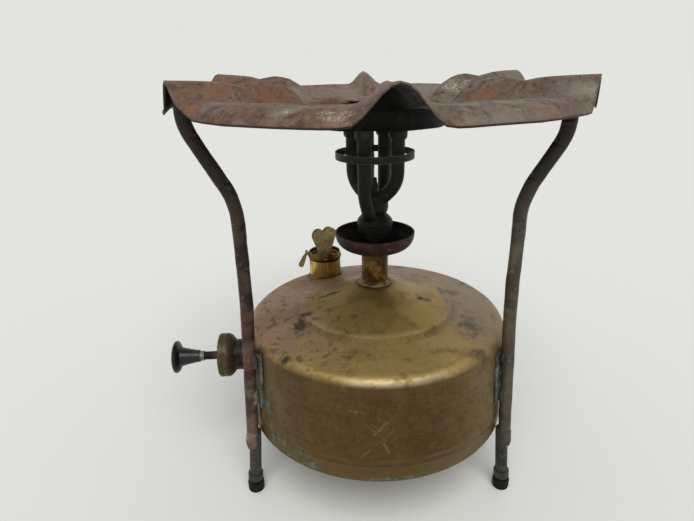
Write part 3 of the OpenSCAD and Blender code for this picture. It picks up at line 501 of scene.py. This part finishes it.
colour = layers(brass, colour,
                (mauve, TOP_MAUVE),
                (part_of(brass, scribbled, 0.55), TOP_SCRIBBLE),
                (part_of(brass, spots, 0.85), TARNISH_BLACK),
                (part_of(brass, green_spots, 0.7), TARNISH_GREEN),
                (part_of(brass, green, 0.75), green_colour),
                (part_of(brass, orange_edge, 0.7), FLUX_ORANGE),
                (part_of(brass, scratched, 0.34), SCRATCH_PALE),
                # Painted highlights on the shoulder and on the dome step's edge.
                (part_of(brass, polish_and_painted_highlights, 0.35), BRASS_POLISH_HIGHLIGHT),
                (part_of(brass, under_shoulder, 0.45), SHOULDER_BROWN),
                (part_of(brass, specks, 0.6), TARNISH_BLACK),
                (part_of(brass, seam_dirt, 0.2), TARNISH_BLACK),
                # Painted highlight on the seam's bead.
                (part_of(brass, seam_highlight, 0.35), WALL_GOLD),
                (part_of(brass, collar_dirt, 0.5), TARNISH_BLACK),
                (part_of(brass, neck_dirt, 0.75), TARNISH_BLACK),
                # Painted shade outside the dome's step.
                (part_of(brass, step_shade, 0.35), STEP_SHADE_BROWN))
roughness = blend_value(brass, most(brass, patches, spots, green), 0.38, 0.56)
roughness = blend_value(brass, rubbed_with_painted_highlight, roughness, 0.40)
fine_streaks = aged(brass, "streak", Stretch=(26, 26, 1500), Low=0.35, High=0.7)
normal = bumped(brass, fine_streaks, 0.00002, 0.45)
normal = bumped(brass, small_patches, 0.00006, 0.35, normal)
normal = bumped(brass, most(brass, spots, green, scratched), 0.00008, 0.6, normal)
brass.set(Base_Color=colour, Roughness=roughness, Normal=normal)


def merged(node):
    """A CAD mesh's loose triangles joined up, so that the surface can be worked on."""
    mesh = bmesh.new()
    mesh.from_mesh(NODES[node].data)
    bmesh.ops.remove_doubles(mesh, verts=mesh.verts, dist=0.000002)
    return mesh


def cut_across(mesh, axis, low, high, pitch):
    """Extra edge rings at even steps along an axis, so that a long facet can bend."""
    steps = round((high - low) / pitch)
    for step in range(steps + 1):
        at = Vector((0, 0, 0))
        at[axis] = low + step * pitch
        across = Vector((0, 0, 0))
        across[axis] = 1
        bmesh.ops.bisect_plane(mesh, geom=mesh.verts[:] + mesh.edges[:] + mesh.faces[:], dist=0.0000005,
                               plane_co=at, plane_no=across)


def smooth_step(value, low, high):
    share = min(1, max(0, (value - low) / (high - low)))
    return share * share * (3 - 2 * share)


def finished(mesh, name, body, finish, crisp=35, replaced=None):
    """A new piece from a bmesh, smooth but for its crisp edges, on a body and in a finish."""
    data = bpy.data.meshes.new(name)
    mesh.to_mesh(data)
    mesh.free()
    data.polygons.foreach_set("use_smooth", [True] * len(data.polygons))
    data.set_sharp_from_angle(angle=math.radians(crisp))
    piece = bpy.data.objects.new(name, data)
    scene.collection.objects.link(piece)
    finish.dress(piece)
    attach(piece, body)
    if replaced:
        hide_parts(replaced)
    return piece


DENT = 0.00042
LEG_AZIMUTHS = [math.radians(angle) for angle in (210.5, 329.5, 90)]


def shell_dent(at):
    """How far the tank's sheet is pushed in or out at a place; nothing where another piece is seated."""
    around = math.atan2(at.y, at.x)
    ring = math.hypot(at.x, at.y)
    held = smooth_step(ring, 0.014, 0.022) * smooth_step(at.z, 0.0600, 0.0680)
    held *= smooth_step(math.hypot(at.x - NECK_AT[0], at.y - NECK_AT[1]), 0.0135, 0.0200)
    held *= smooth_step((at - PUMP_HOLE).length, 0.014, 0.020)
    for leg in LEG_AZIMUTHS:
        turn = abs(math.remainder(around - leg, 2 * math.pi)) * ring
        held *= max(smooth_step(turn, 0.008, 0.013), smooth_step(ring, 0.078, 0.070))
    broad = noise.noise(Vector((at.x, at.y, at.z * 1.3)) * 42)
    tight = noise.noise(at * 95 + Vector((3, 1, 7)))
    return held * (DENT * broad + 0.35 * DENT * tight)


def dented_shell():
    """The shell cut into small facets and dented: in or out on the wall, up or down on the top."""
    mesh = merged("tank_shell")
    cut_across(mesh, 2, 0.0552, 0.0592, 0.0008)
    cut_across(mesh, 2, 0.060, 0.100, 0.004)
    for axis in (0, 1):
        cut_across(mesh, axis, -0.080, 0.080, 0.005)
    for vert in mesh.verts:
        ring = math.hypot(vert.co.x, vert.co.y)
        on_wall = smooth_step(ring, 0.070, 0.082)
        outward = Vector((vert.co.x, vert.co.y, 0)).normalized() if ring > 0.001 else Vector((0, 0, 0))
        vert.co += (outward * on_wall + Vector((0, 0, 1 - on_wall))) * shell_dent(vert.co)
    return mesh


finished(dented_shell(), "dented_shell", "stove", brass, crisp=50, replaced="tank_shell")
brass.dress(NODES["tank_base"])


# ---- Riser and priming cup ----
# A drawn brass tube soldered into the tank's top, still yellow at its foot, with
# a pressed cup soldered on that spirit and soot have blackened inside.

RISER_YELLOW = (0.155, 0.090, 0.018)
RISER_BROWN = (0.042, 0.020, 0.004)
RISER_BRIGHT = (0.34, 0.22, 0.07)
RISER_DULL = (0.060, 0.030, 0.010)
RISER_SOOT = (0.045, 0.026, 0.014)
CUP_BROWN = (0.050, 0.026, 0.0185)
CUP_DARK = (0.020, 0.0125, 0.0095)
CUP_RUST = (0.140, 0.078, 0.056)
CUP_BLACK = (0.0050, 0.0042, 0.0036)
CUP_CRUST = (0.030, 0.017, 0.012)
CUP_EDGE = (0.10, 0.065, 0.05)
SOLDER_GOLD = (0.260, 0.190, 0.090)
SOLDER_BROWN = (0.090, 0.052, 0.024)
SOLDER_BRIGHT = (0.40, 0.31, 0.17)
# Each ring of solder: its radius, height and thickness, and its middle.
SOLDER_RINGS = (("riser_solder", 0.0104, 0.1262, 0.0006, (0, 0)),
                ("cup_solder", 0.0087, 0.1478, 0.0009, (0, 0)),
                ("neck_solder", 0.0120, 0.1076, 0.0006, NECK_AT))

riser = Finish("riser_brass", Metallic=0.75, Specular_IOR_Level=0.25)
cloudy = cloud(riser, 120, 0.38, 0.60)
fine = cloud(riser, 420, 0.45, 0.65)
height = split(riser, riser.where)["Z"]
colour = layers(riser, RISER_YELLOW,
                (cloudy, RISER_BROWN),
                (part_of(riser, fine, 0.35), RISER_BRIGHT),
                (cloud(riser, 60, 0.5, 0.62, 0.6), RISER_DULL),
                (ramp(riser.tree, height, 0.138, 0.149), RISER_SOOT))
riser.set(Base_Color=colour, Roughness=blend_value(riser, cloudy, 0.26, 0.42),
          Normal=bumped(riser, fine, 0.00005, 0.4))
riser.dress(NODES["riser_tube"], NODES["pickup_tube"])

cup = Finish("cup_soot", Metallic=0.25, Specular_IOR_Level=0.18, Roughness=0.55)
outside = layers(cup, CUP_BROWN,
                 (cloud(cup, 90, 0.42, 0.60), CUP_DARK),
                 (cloud(cup, 240, 0.54, 0.70, 0.7), CUP_RUST))
inside = layers(cup, CUP_BLACK, (cloud(cup, 110, 0.54, 0.68, 0.7), CUP_CRUST))
colour = tint(cup, ramp(cup.tree, facing_up(cup), -0.05, 0.15), outside, inside)
colour = tint(cup, part_of(cup, aged(cup, "worn_edge", Width=0.0006, Gain=1.0), 0.25), colour, CUP_EDGE)
cup.set(Base_Color=colour, Normal=grained(cup, 500, 0.00008, 0.6))
cup.dress(NODES["priming_cup"])

solder_gold = Finish("solder_gold", Metallic=0.5, Specular_IOR_Level=0.25, Roughness=0.42)
colour = layers(solder_gold, SOLDER_GOLD,
                (cloud(solder_gold, 260, 0.48, 0.64), SOLDER_BROWN),
                (cloud(solder_gold, 420, 0.56, 0.68, 0.7), SOLDER_BRIGHT))
solder_gold.set(Base_Color=colour, Normal=grained(solder_gold, 600, 0.0001, 0.5))
solder_gold.dress(NODES["riser_collar"])


def solder_ring(ring, height, thick, centre):
    """A bead of solder run round a joint, uneven as it froze."""
    mesh = bmesh.new()
    bmesh.ops.create_circle(mesh, segments=12, radius=thick, matrix=Matrix.Rotation(math.pi / 2, 4, "X"))
    bmesh.ops.translate(mesh, verts=mesh.verts, vec=(ring, 0, 0))
    bmesh.ops.spin(mesh, geom=mesh.verts[:] + mesh.edges[:], axis=(0, 0, 1), cent=(0, 0, 0),
                   angle=2 * math.pi, steps=72, use_merge=True)
    bmesh.ops.remove_doubles(mesh, verts=mesh.verts, dist=0.000002)
    for vert in mesh.verts:
        middle = Vector((vert.co.x, vert.co.y, 0)).normalized() * ring
        swell = 1 + 0.9 * noise.noise(vert.co * 260 + Vector((height * 900, 0, 0)))
        vert.co = middle + (vert.co - middle) * swell
    bmesh.ops.translate(mesh, verts=mesh.verts, vec=(*centre, height))
    bmesh.ops.recalc_face_normals(mesh, faces=mesh.faces)
    return mesh


for name, *shape in SOLDER_RINGS:
    finished(solder_ring(*shape), name, "stove", cup if name == "cup_solder" else solder_gold)


# ---- Burner ----
# Brass castings and tubes brazed together, black with soot; the band keeps a
# grey metal edge. The loose ring in the head is the blackest.

SOOT_BROWN = (0.020, 0.013, 0.009)
LAMP_BLACK = (0.0030, 0.0028, 0.0024)
LAMP_ASH = (0.008, 0.007, 0.006)
SOOTY_PIECES = ("burner_base", "burner_tube_fl", "burner_tube_fr", "burner_tube_rr", "burner_tube_rl",
                "burner_head", "jet_nipple", "burner_gasket")


def soot_finish(name, deep, ashy, worn, worn_share):
    """Soot over brass, with edges where the metal is rubbed clear."""
    made = Finish(name, Metallic=0.1, Specular_IOR_Level=0.2)
    mottled = cloud(made, 140, 0.45, 0.68)
    colour = layers(made, tint(made, mottled, deep, ashy),
                    (cloud(made, 60, 0.56, 0.7, 0.5), SOOT_BROWN),
                    (part_of(made, aged(made, "worn_edge", Width=0.0007, Gain=1.2), worn_share), worn))
    made.set(Base_Color=colour, Roughness=blend_value(made, mottled, 0.45, 0.65),
             Normal=grained(made, 650, 0.0001, 0.5))
    return made


soot = soot_finish("soot", deep=(0.0046, 0.0044, 0.0036), ashy=(0.017, 0.0155, 0.0120),
                   worn=(0.045, 0.043, 0.034), worn_share=0.5)
soot.dress(*[NODES[name] for name in SOOTY_PIECES])
band_soot = soot_finish("band_soot", deep=(0.0080, 0.0075, 0.0055), ashy=(0.020, 0.019, 0.0140),
                        worn=(0.105, 0.100, 0.080), worn_share=0.8)
band_soot.dress(NODES["burner_band"])
lamp_black = Finish("lamp_black", Roughness=0.9, Specular_IOR_Level=0.0)
lamp_black.set(Base_Color=layers(lamp_black, LAMP_BLACK, (cloud(lamp_black, 200, 0.5, 0.7), LAMP_ASH)))
lamp_black.dress(NODES["flame_ring"])


# ---- Pump ----
# A barrel soldered through the tank wall, a turned screw cap, a steel rod gone
# brown and a glossy black turned knob.

ROD_DARK = (0.011, 0.010, 0.009)
ROD_BROWN = (0.022, 0.015, 0.012)
ROD_RUST = (0.105, 0.048, 0.026)
KNOB_BLACK = (0.0070, 0.0070, 0.0095, 1)
LEATHER_TAN = (0.10, 0.05, 0.025)
LEATHER_OILED = (0.05, 0.025, 0.012)
STEEL_PIECES = ("pump_rod", "piston_plate", "piston_nut", "rod_spring", "valve_spring")


def dull_finish(name, base, dark, pink, edge, edge_share):
    """Turned metal gone dull, with a pinkish bloom and edges rubbed clear."""
    made = Finish(name, Metallic=0.4, Specular_IOR_Level=0.22)
    mottled = cloud(made, 150, 0.40, 0.64)
    colour = layers(made, tint(made, mottled, base, dark),
                    (cloud(made, 640, 0.56, 0.68, 0.45), pink),
                    (part_of(made, aged(made, "worn_edge", Width=0.0005, Gain=1.3), edge_share), edge))
    made.set(Base_Color=colour, Roughness=blend_value(made, mottled, 0.42, 0.58),
             Normal=grained(made, 900, 0.00004, 0.5))
    return made


dull_brass = dull_finish("dull_brass", base=(0.092, 0.063, 0.030), dark=(0.044, 0.029, 0.014),
                         pink=(0.17, 0.11, 0.07), edge=(0.26, 0.20, 0.10), edge_share=0.6)
dull_brass.dress(*[NODES[name] for name in ("pump_cap", "valve_body", "valve_stop")])
barrel_brass = dull_finish("barrel_brass", base=(0.022, 0.020, 0.011), dark=(0.008, 0.0075, 0.005),
                           pink=(0.06, 0.05, 0.03), edge=(0.08, 0.07, 0.05), edge_share=0.4)
barrel_brass.dress(NODES["pump_barrel"])
worn_nickel = dull_finish("worn_nickel", base=(0.150, 0.140, 0.125), dark=(0.030, 0.027, 0.024),
                          pink=(0.45, 0.42, 0.38), edge=(0.40, 0.37, 0.33), edge_share=0.7)
worn_nickel.dress(NODES["knob_ferrule"])

rod = Finish("brown_rod", Metallic=0.2, Specular_IOR_Level=0.12, Roughness=0.55)
near_cap = ramp(rod.tree, split(rod, rod.where)["X"], -0.1105, -0.1045)
colour = layers(rod, ROD_DARK,
                (cloud(rod, 260, 0.42, 0.60), ROD_BROWN),
                (part_of(rod, near_cap, 0.75), ROD_RUST))
rod.set(Base_Color=colour, Normal=grained(rod, 900, 0.00006, 0.6))
rod.dress(*[NODES[name] for name in STEEL_PIECES])

knob = Finish("black_knob", Base_Color=KNOB_BLACK, Specular_IOR_Level=0.30, Coat_Weight=0.12,
              Coat_Roughness=0.10)
knob.set(Roughness=blend_value(knob, cloud(knob, 300, 0.4, 0.7), 0.30, 0.44))
knob.dress(NODES["pump_knob"])

leather = Finish("oiled_leather", Roughness=0.6)
leather.set(Base_Color=layers(leather, LEATHER_TAN, (cloud(leather, 500, 0.4, 0.6), LEATHER_OILED)))
leather.dress(NODES["leather_cup"], NODES["pump_cap_washer"])


# ---- Filler ----
# Turned brass neck and cap, kept bright by use; the soldered wing and the air
# screw's leaf are dull, and the washer is black rubber, as the feet are.

FILLER_GOLD = (0.66, 0.48, 0.15)
FILLER_TURNED = (0.44, 0.29, 0.080)
FILLER_BROWN = (0.15, 0.070, 0.020)
FILLER_OLIVE = (0.40, 0.33, 0.12)
FILLER_TOP = (0.090, 0.040, 0.012)
WING_OLIVE = (0.470, 0.360, 0.180)
WING_DARK = (0.290, 0.205, 0.095)
WING_EDGE = (0.46, 0.37, 0.20)
RUBBER_BLACK = (0.0045, 0.0045, 0.0042)
RUBBER_DUSTY = (0.012, 0.012, 0.011)
SIDES = ("left", "right", "rear")

bright = Finish("bright_brass", Metallic=0.92, Specular_IOR_Level=0.3)
turned = aged(bright, "streak", Stretch=(360, 360, 3), Low=0.36, High=0.62)
dark_bands = aged(bright, "streak", Stretch=(190, 190, 2), Low=0.52, High=0.66)
height = split(bright, bright.where)["Z"]
colour = layers(bright, FILLER_GOLD,
                (turned, FILLER_TURNED),
                (part_of(bright, dark_bands, 0.8), FILLER_BROWN),
                (cloud(bright, 160, 0.5, 0.66, 0.5), FILLER_OLIVE),
                (part_of(bright, ramp(bright.tree, height, 0.1205, 0.1220), 0.85), FILLER_TOP))
bright.set(Base_Color=colour, Roughness=blend_value(bright, turned, 0.20, 0.32))
bright.dress(NODES["filler_neck"], NODES["filler_cap"])

olive = Finish("olive_brass", Metallic=0.35, Specular_IOR_Level=0.3, Roughness=0.46)
cloudy = cloud(olive, 190, 0.4, 0.64)
colour = layers(olive, WING_OLIVE, (cloudy, WING_DARK),
                (part_of(olive, aged(olive, "worn_edge", Width=0.0004, Gain=1.3), 0.5), WING_EDGE))
olive.set(Base_Color=colour, Normal=bumped(olive, cloudy, 0.0001, 0.4))
olive.dress(NODES["cap_wing"], NODES["air_screw"])

rubber = Finish("black_rubber", Roughness=0.7, Specular_IOR_Level=0.15)
rubber.set(Base_Color=layers(rubber, RUBBER_BLACK, (cloud(rubber, 300, 0.4, 0.7), RUBBER_DUSTY)),
           Normal=grained(rubber, 900, 0.0001, 0.4))
rubber.dress(NODES["filler_gasket"], NODES["valve_pip"], *[NODES["rubber_foot_" + name] for name in SIDES])


# ---- Legs and brackets ----
# Round steel rod bent by hand, brazed to soldered plates on the tank, red and
# brown with rust on the left and grey-black on the right. Under the plate the
# rods are darker towards their tops.

ROD_TOP_DARK = (0.020, 0.0155, 0.0125)
SOLDER_LEAD = (0.125, 0.125, 0.105)
SOLDER_DARK = (0.035, 0.033, 0.026)
SOLDER_GREEN = (0.115, 0.150, 0.100)
SOLDER_PALE = (0.25, 0.26, 0.22)
ROD_ROUGHNESS = 0.00030
ROD_FOOT_Z = 0.048
ROD_TIP_Z = 0.236
HAMMER_SEED = 1


def rusty(name, base, dark, rust, pale, red=0.75, bare=0.5, low=None):
    """Rusty steel in four tones; a rod also has a low tone, where it is rubbed, and is darker towards its
    top.
    """
    made = Finish(name, Metallic=0.25, Specular_IOR_Level=0.22)
    pitted = cloud(made, 420, 0.3, 0.7)
    if low:
        level = split(made, made.where)["Z"]
        base = tint(made, part_of(made, ramp(made.tree, level, 0.135, 0.105), 0.75), base, low)
        # Towards its top, under the plate, a rod is darker, here and in the last tint below.
        base = tint(made, part_of(made, ramp(made.tree, level, 0.180, 0.212), 0.9), base, dark)
    colour = layers(made, base,
                    (cloud(made, 75, 0.40, 0.60), dark),
                    (cloud(made, 55, 0.50, 0.60, red), rust),
                    (cloud(made, 300, 0.56, 0.68, bare), pale))
    if low:
        colour = tint(made, part_of(made, ramp(made.tree, level, 0.160, 0.212), 0.8), colour, ROD_TOP_DARK)
    made.set(Base_Color=colour, Roughness=blend_value(made, pitted, 0.42, 0.62),
             Normal=bumped(made, pitted, 0.00014, 0.6))
    return made


left_steel = rusty("red_steel", base=(0.070, 0.045, 0.032), dark=(0.026, 0.017, 0.013),
                   rust=(0.100, 0.026, 0.020), pale=(0.20, 0.15, 0.115), low=(0.130, 0.090, 0.062))
right_steel = rusty("grey_steel", base=(0.125, 0.100, 0.066), dark=(0.056, 0.047, 0.034),
                    rust=(0.085, 0.055, 0.036), pale=(0.20, 0.18, 0.14), red=0.4, low=(0.085, 0.072, 0.050))
post_steel = rusty("green_grey_steel", base=(0.044, 0.044, 0.034), dark=(0.022, 0.022, 0.018),
                   rust=(0.060, 0.050, 0.034), pale=(0.12, 0.12, 0.10))
pale_braze = rusty("pale_braze", base=(0.170, 0.125, 0.095), dark=(0.055, 0.036, 0.026),
                   rust=(0.110, 0.050, 0.030), pale=(0.36, 0.33, 0.29), bare=0.8)
dark_braze = rusty("dark_braze", base=(0.075, 0.068, 0.052), dark=(0.030, 0.028, 0.022),
                   rust=(0.060, 0.045, 0.030), pale=(0.20, 0.19, 0.16))
LEG_FINISHES = {"left": left_steel, "right": right_steel, "rear": left_steel}


def hammered(node, low, high, pitch=0.004):
    """A rod with the small flats and lumps of hand bending, none near its two ends."""
    mesh = merged(node)
    cut_across(mesh, 2, low, high, pitch)
    for vert in mesh.verts:
        held = smooth_step(vert.co.z, low, low + 0.010) * smooth_step(vert.co.z, high, high - 0.012)
        push = noise.noise_vector(vert.co * 75) + 0.5 * noise.noise_vector(vert.co * 210)
        vert.co += push * held * ROD_ROUGHNESS
    return mesh


noise.seed_set(HAMMER_SEED)
for name in SIDES:
    finished(hammered("leg_" + name, ROD_FOOT_Z, ROD_TIP_Z), "bent_leg_" + name, "stove",
             LEG_FINISHES[name], replaced="leg_" + name)
post_steel.dress(*[NODES[kind + name] for kind in ("foot_post_", "foot_ferrule_") for name in SIDES])

solder = Finish("solder_grey", Metallic=0.25, Specular_IOR_Level=0.25, Roughness=0.55)
colour = layers(solder, SOLDER_LEAD,
                (cloud(solder, 120, 0.4, 0.6), SOLDER_DARK),
                (cloud(solder, 240, 0.54, 0.66, 0.7), SOLDER_GREEN),
                (cloud(solder, 420, 0.6, 0.7, 0.5), SOLDER_PALE))
solder.set(Base_Color=colour, Normal=grained(solder, 400, 0.0002, 0.6))
solder.dress(*[NODES["bracket_" + name] for name in SIDES])

WALL_R = 0.0842
LEG_OUT = 0.0884
BRACKET_Z = 0.0820
LEG_LEAN = math.radians(3)
LAP_Z = 0.0395
LAP_REACH = (0.0034, 0.0033, 0.0068)
LAP_RAGGED = 0.14
JOINT_REACH = (0.0024, 0.0034, 0.0050)
JOINTS = ((0.0945, 11), (0.0700, 17))
BEAD_REACH = (0.0009, 0.0016, 0.0172)
BEAD_ASIDE = 0.0066
BEAD_RAGGED = 0.35


def lump(centre, axis, reach, seed, ragged=0.22):
    """Filler frozen in a knobbly lump; its reach is across, aside and along its axis."""
    mesh = bmesh.new()
    bmesh.ops.create_icosphere(mesh, subdivisions=4, radius=1)
    for vert in mesh.verts:
        coarse = noise.noise(vert.co * 1.5 + Vector((seed * 7.3, 0, 0)))
        fine_skin = noise.noise(vert.co * 4.5 + Vector((0, seed * 5.1, 0)))
        vert.co *= 1 + ragged * (coarse + 0.4 * fine_skin)
        vert.co.xy *= math.sqrt(1 + min(1, vert.co.z ** 2))
    turn = Vector(axis).to_track_quat("Z", "X").to_matrix().to_4x4()
    bmesh.ops.scale(mesh, verts=mesh.verts, vec=reach)
    bmesh.ops.transform(mesh, verts=mesh.verts, matrix=Matrix.Translation(centre) @ turn)
    return mesh


def around_tank(azimuth, out, aside, height):
    """A place given as seen along a leg: out from the tank's axis, aside and up."""
    away = Vector((math.cos(azimuth), math.sin(azimuth), 0))
    across = Vector((-math.sin(azimuth), math.cos(azimuth), 0))
    return away * out + across * aside + Vector((0, 0, height))


def leg_axis(height):
    """How far out a leg's axis is, at a height between its lap and its bend."""
    return LEG_OUT + (BRACKET_Z - height) * math.tan(LEG_LEAN)


for order, (name, azimuth) in enumerate(zip(SIDES, LEG_AZIMUTHS)):
    lean = around_tank(azimuth, -math.sin(LEG_LEAN), 0, math.cos(LEG_LEAN))
    lap = around_tank(azimuth, leg_axis(LAP_Z) + 0.0004, 0, LAP_Z + 0.0006)
    finished(lump(lap, lean, LAP_REACH, 1 + order, LAP_RAGGED), "lap_braze_" + name, "stove",
             pale_braze if name == "left" else dark_braze)
    for level, seed in JOINTS:
        joint = around_tank(azimuth, leg_axis(level) - 0.0024, 0.0006, level)
        pale = name == "left" and seed == 17
        finished(lump(joint, lean, JOINT_REACH, seed + order), "bracket_braze_%s_%d" % (name, seed),
                 "stove", pale_braze if pale else dark_braze)
    for edge, label in ((-1, "near"), (1, "far")):
        bead = around_tank(azimuth, WALL_R - 0.0006, edge * BEAD_ASIDE, BRACKET_Z)
        finished(lump(bead, lean, BEAD_REACH, 23 + order + edge, BEAD_RAGGED),
                 "bracket_solder_%s_%s" % (name, label), "stove", solder)


# ---- Pot plate ----
# One sheet of pressed steel, heat-stained mauve and grey, with pale flecks on
# the humps and a bare cut edge; underneath it is near black, soot with painted
# shade. The loose spreader under its hole is scaled by the same heat.

PLATE_MAUVE = (0.158, 0.092, 0.062)
PLATE_GREY = (0.158, 0.128, 0.096)
PLATE_DARK = (0.105, 0.062, 0.050)
PLATE_PALE = (0.205, 0.150, 0.125)
PLATE_RUST = (0.150, 0.070, 0.046)
PLATE_BROWN = (0.078, 0.050, 0.038)
PLATE_GRIT = (0.056, 0.040, 0.032)
PLATE_FLAKE = (0.230, 0.175, 0.140)
PLATE_BLOOM = (0.260, 0.200, 0.155)
RUST_ORANGE = (0.215, 0.098, 0.050)
ASH_GREY = (0.205, 0.185, 0.150)
HEAT_GREEN = (0.170, 0.165, 0.105)
FLECK_WHITE = (0.40, 0.36, 0.32)
FLECK_HALO = (0.33, 0.27, 0.23)
UNDER_BLACK = (0.0026, 0.0022, 0.0019)
UNDER_BROWN = (0.012, 0.009, 0.006)
CUT_EDGE = (0.060, 0.038, 0.028)
WORN_EDGE = (0.26, 0.22, 0.19)
# Each patch is a centre and how far it reaches.
RUST_PATCHES = (((0.0528, -0.0350, 0.2398), (0.0130, 0.0090, 0.0060)),
                ((0.0653, -0.0904, 0.2364), (0.0090, 0.0060, 0.0050)),
                ((-0.0800, -0.0762, 0.2393), (0.0070, 0.0080, 0.0060)),
                ((-0.0539, -0.0394, 0.2428), (0.0140, 0.0080, 0.0060)),
                ((-0.0728, -0.0523, 0.2447), (0.0100, 0.0060, 0.0040)))
GREY_PATCHES = (((0.0410, -0.1049, 0.2356), (0.0260, 0.0120, 0.0050)),
                ((0.0899, -0.0572, 0.2427), (0.0120, 0.0160, 0.0060)),
                ((-0.0381, -0.1006, 0.2398), (0.0080, 0.0060, 0.0030)),
                ((-0.0442, 0.0180, 0.2393), (0.0120, 0.0120, 0.0060)))
GREEN_HUMPS = (((-0.0105, 0.0609, 0.2385), (0.0120, 0.0140, 0.0070)),
               ((0.0934, 0.0506, 0.2473), (0.0120, 0.0120, 0.0060)))
WHITE_FLECKS = (((-0.0190, -0.1085, 0.2380), (0.0085, 0.0060, 0.0045)),
                ((-0.0381, -0.1006, 0.2400), (0.0070, 0.0030, 0.0020)),
                ((0.0500, 0.0250, 0.2425), (0.0085, 0.0070, 0.0050)),
                ((0.0570, 0.0285, 0.2442), (0.0060, 0.0050, 0.0040)))

plate = Finish("stained_plate", Metallic=0.25, Specular_IOR_Level=0.14)
wander = part_of(plate, cloud(plate, 16, 0.3, 0.7), 0.03)
rightness = arithmetic(plate.tree, "ADD", split(plate, plate.where)["X"], wander)
plate_radius = vector(plate.tree, "LENGTH", vector(plate.tree, "MULTIPLY", plate.where, (1, 1, 0)))
upward = facing_up(plate)
# Faces turned down are near black: soot there, together with painted shade under the plate.
soot_and_painted_shade_below = ramp(plate.tree, upward, 0.02, -0.12)
flecks = crossed(plate, stains(plate, WHITE_FLECKS, 0.9, 160, 0.1), cloud(plate, 760, 0.50, 0.60))
under = layers(plate, UNDER_BLACK, (cloud(plate, 90, 0.52, 0.66, 0.6), UNDER_BROWN))
cut_edge = crossed(plate, soot_and_painted_shade_below, ramp(plate.tree, plate_radius, 0.1124, 0.1130))
worn_edge = crossed(plate, aged(plate, "worn_edge", Width=0.0005, Gain=1.0),
                    ramp(plate.tree, upward, -0.1, 0.2))
colour = layers(plate, PLATE_MAUVE,
                (ramp(plate.tree, rightness, -0.005, 0.055), PLATE_GREY),
                (cloud(plate, 34, 0.44, 0.62, 0.6), PLATE_DARK),
                (cloud(plate, 48, 0.55, 0.66, 0.55), PLATE_PALE),
                (cloud(plate, 90, 0.54, 0.68, 0.5), PLATE_RUST),
                (cloud(plate, 150, 0.48, 0.62, 0.55), PLATE_BROWN),
                (cloud(plate, 300, 0.50, 0.64, 0.55), PLATE_GRIT),
                (cloud(plate, 520, 0.55, 0.68, 0.50), PLATE_FLAKE),
                (cloud(plate, 210, 0.57, 0.70, 0.40), PLATE_BLOOM),
                (part_of(plate, stains(plate, RUST_PATCHES, 0.8, 110, 0.1), 0.6), RUST_ORANGE),
                (part_of(plate, stains(plate, GREY_PATCHES, 0.8, 80, 0.1), 0.6), ASH_GREY),
                (part_of(plate, stains(plate, GREEN_HUMPS, 0.7, 80, 0.1), 0.6), HEAT_GREEN),
                (flecks, FLECK_WHITE),
                (part_of(plate, stains(plate, WHITE_FLECKS, 0.7, 90, 0.0), 0.30), FLECK_HALO),
                (soot_and_painted_shade_below, under),
                (part_of(plate, cut_edge, 0.9), CUT_EDGE),
                (part_of(plate, worn_edge, 0.35), WORN_EDGE))
pitted = cloud(plate, 330, 0.3, 0.7)
plate.set(Base_Color=colour, Roughness=blend_value(plate, pitted, 0.42, 0.62),
          Normal=bumped(plate, pitted, 0.00014, 0.55))
plate.dress(NODES["flame_spreader"])

PLATE_DENT = 0.00035
ROD_TIPS = ((-0.0895, -0.0540), (0.0870, -0.0525), (0.0, 0.1045))


def dished_sheet():
    """The pressed sheet, slightly wavy but where it rests on the rods' tips."""
    mesh = merged("pot_plate")
    for vert in mesh.verts:
        held = 1.0
        for x, y in ROD_TIPS:
            held *= smooth_step(math.hypot(vert.co.x - x, vert.co.y - y), 0.012, 0.022)
        flat = Vector((vert.co.x, vert.co.y, 0))
        wave = noise.noise(flat * 55) + 0.5 * noise.noise(flat * 130 + Vector((4, 9, 0)))
        vert.co.z += held * PLATE_DENT * wave
    return mesh


finished(dished_sheet(), "pressed_plate", "pot_plate", plate, crisp=50,
         replaced="pot_plate")
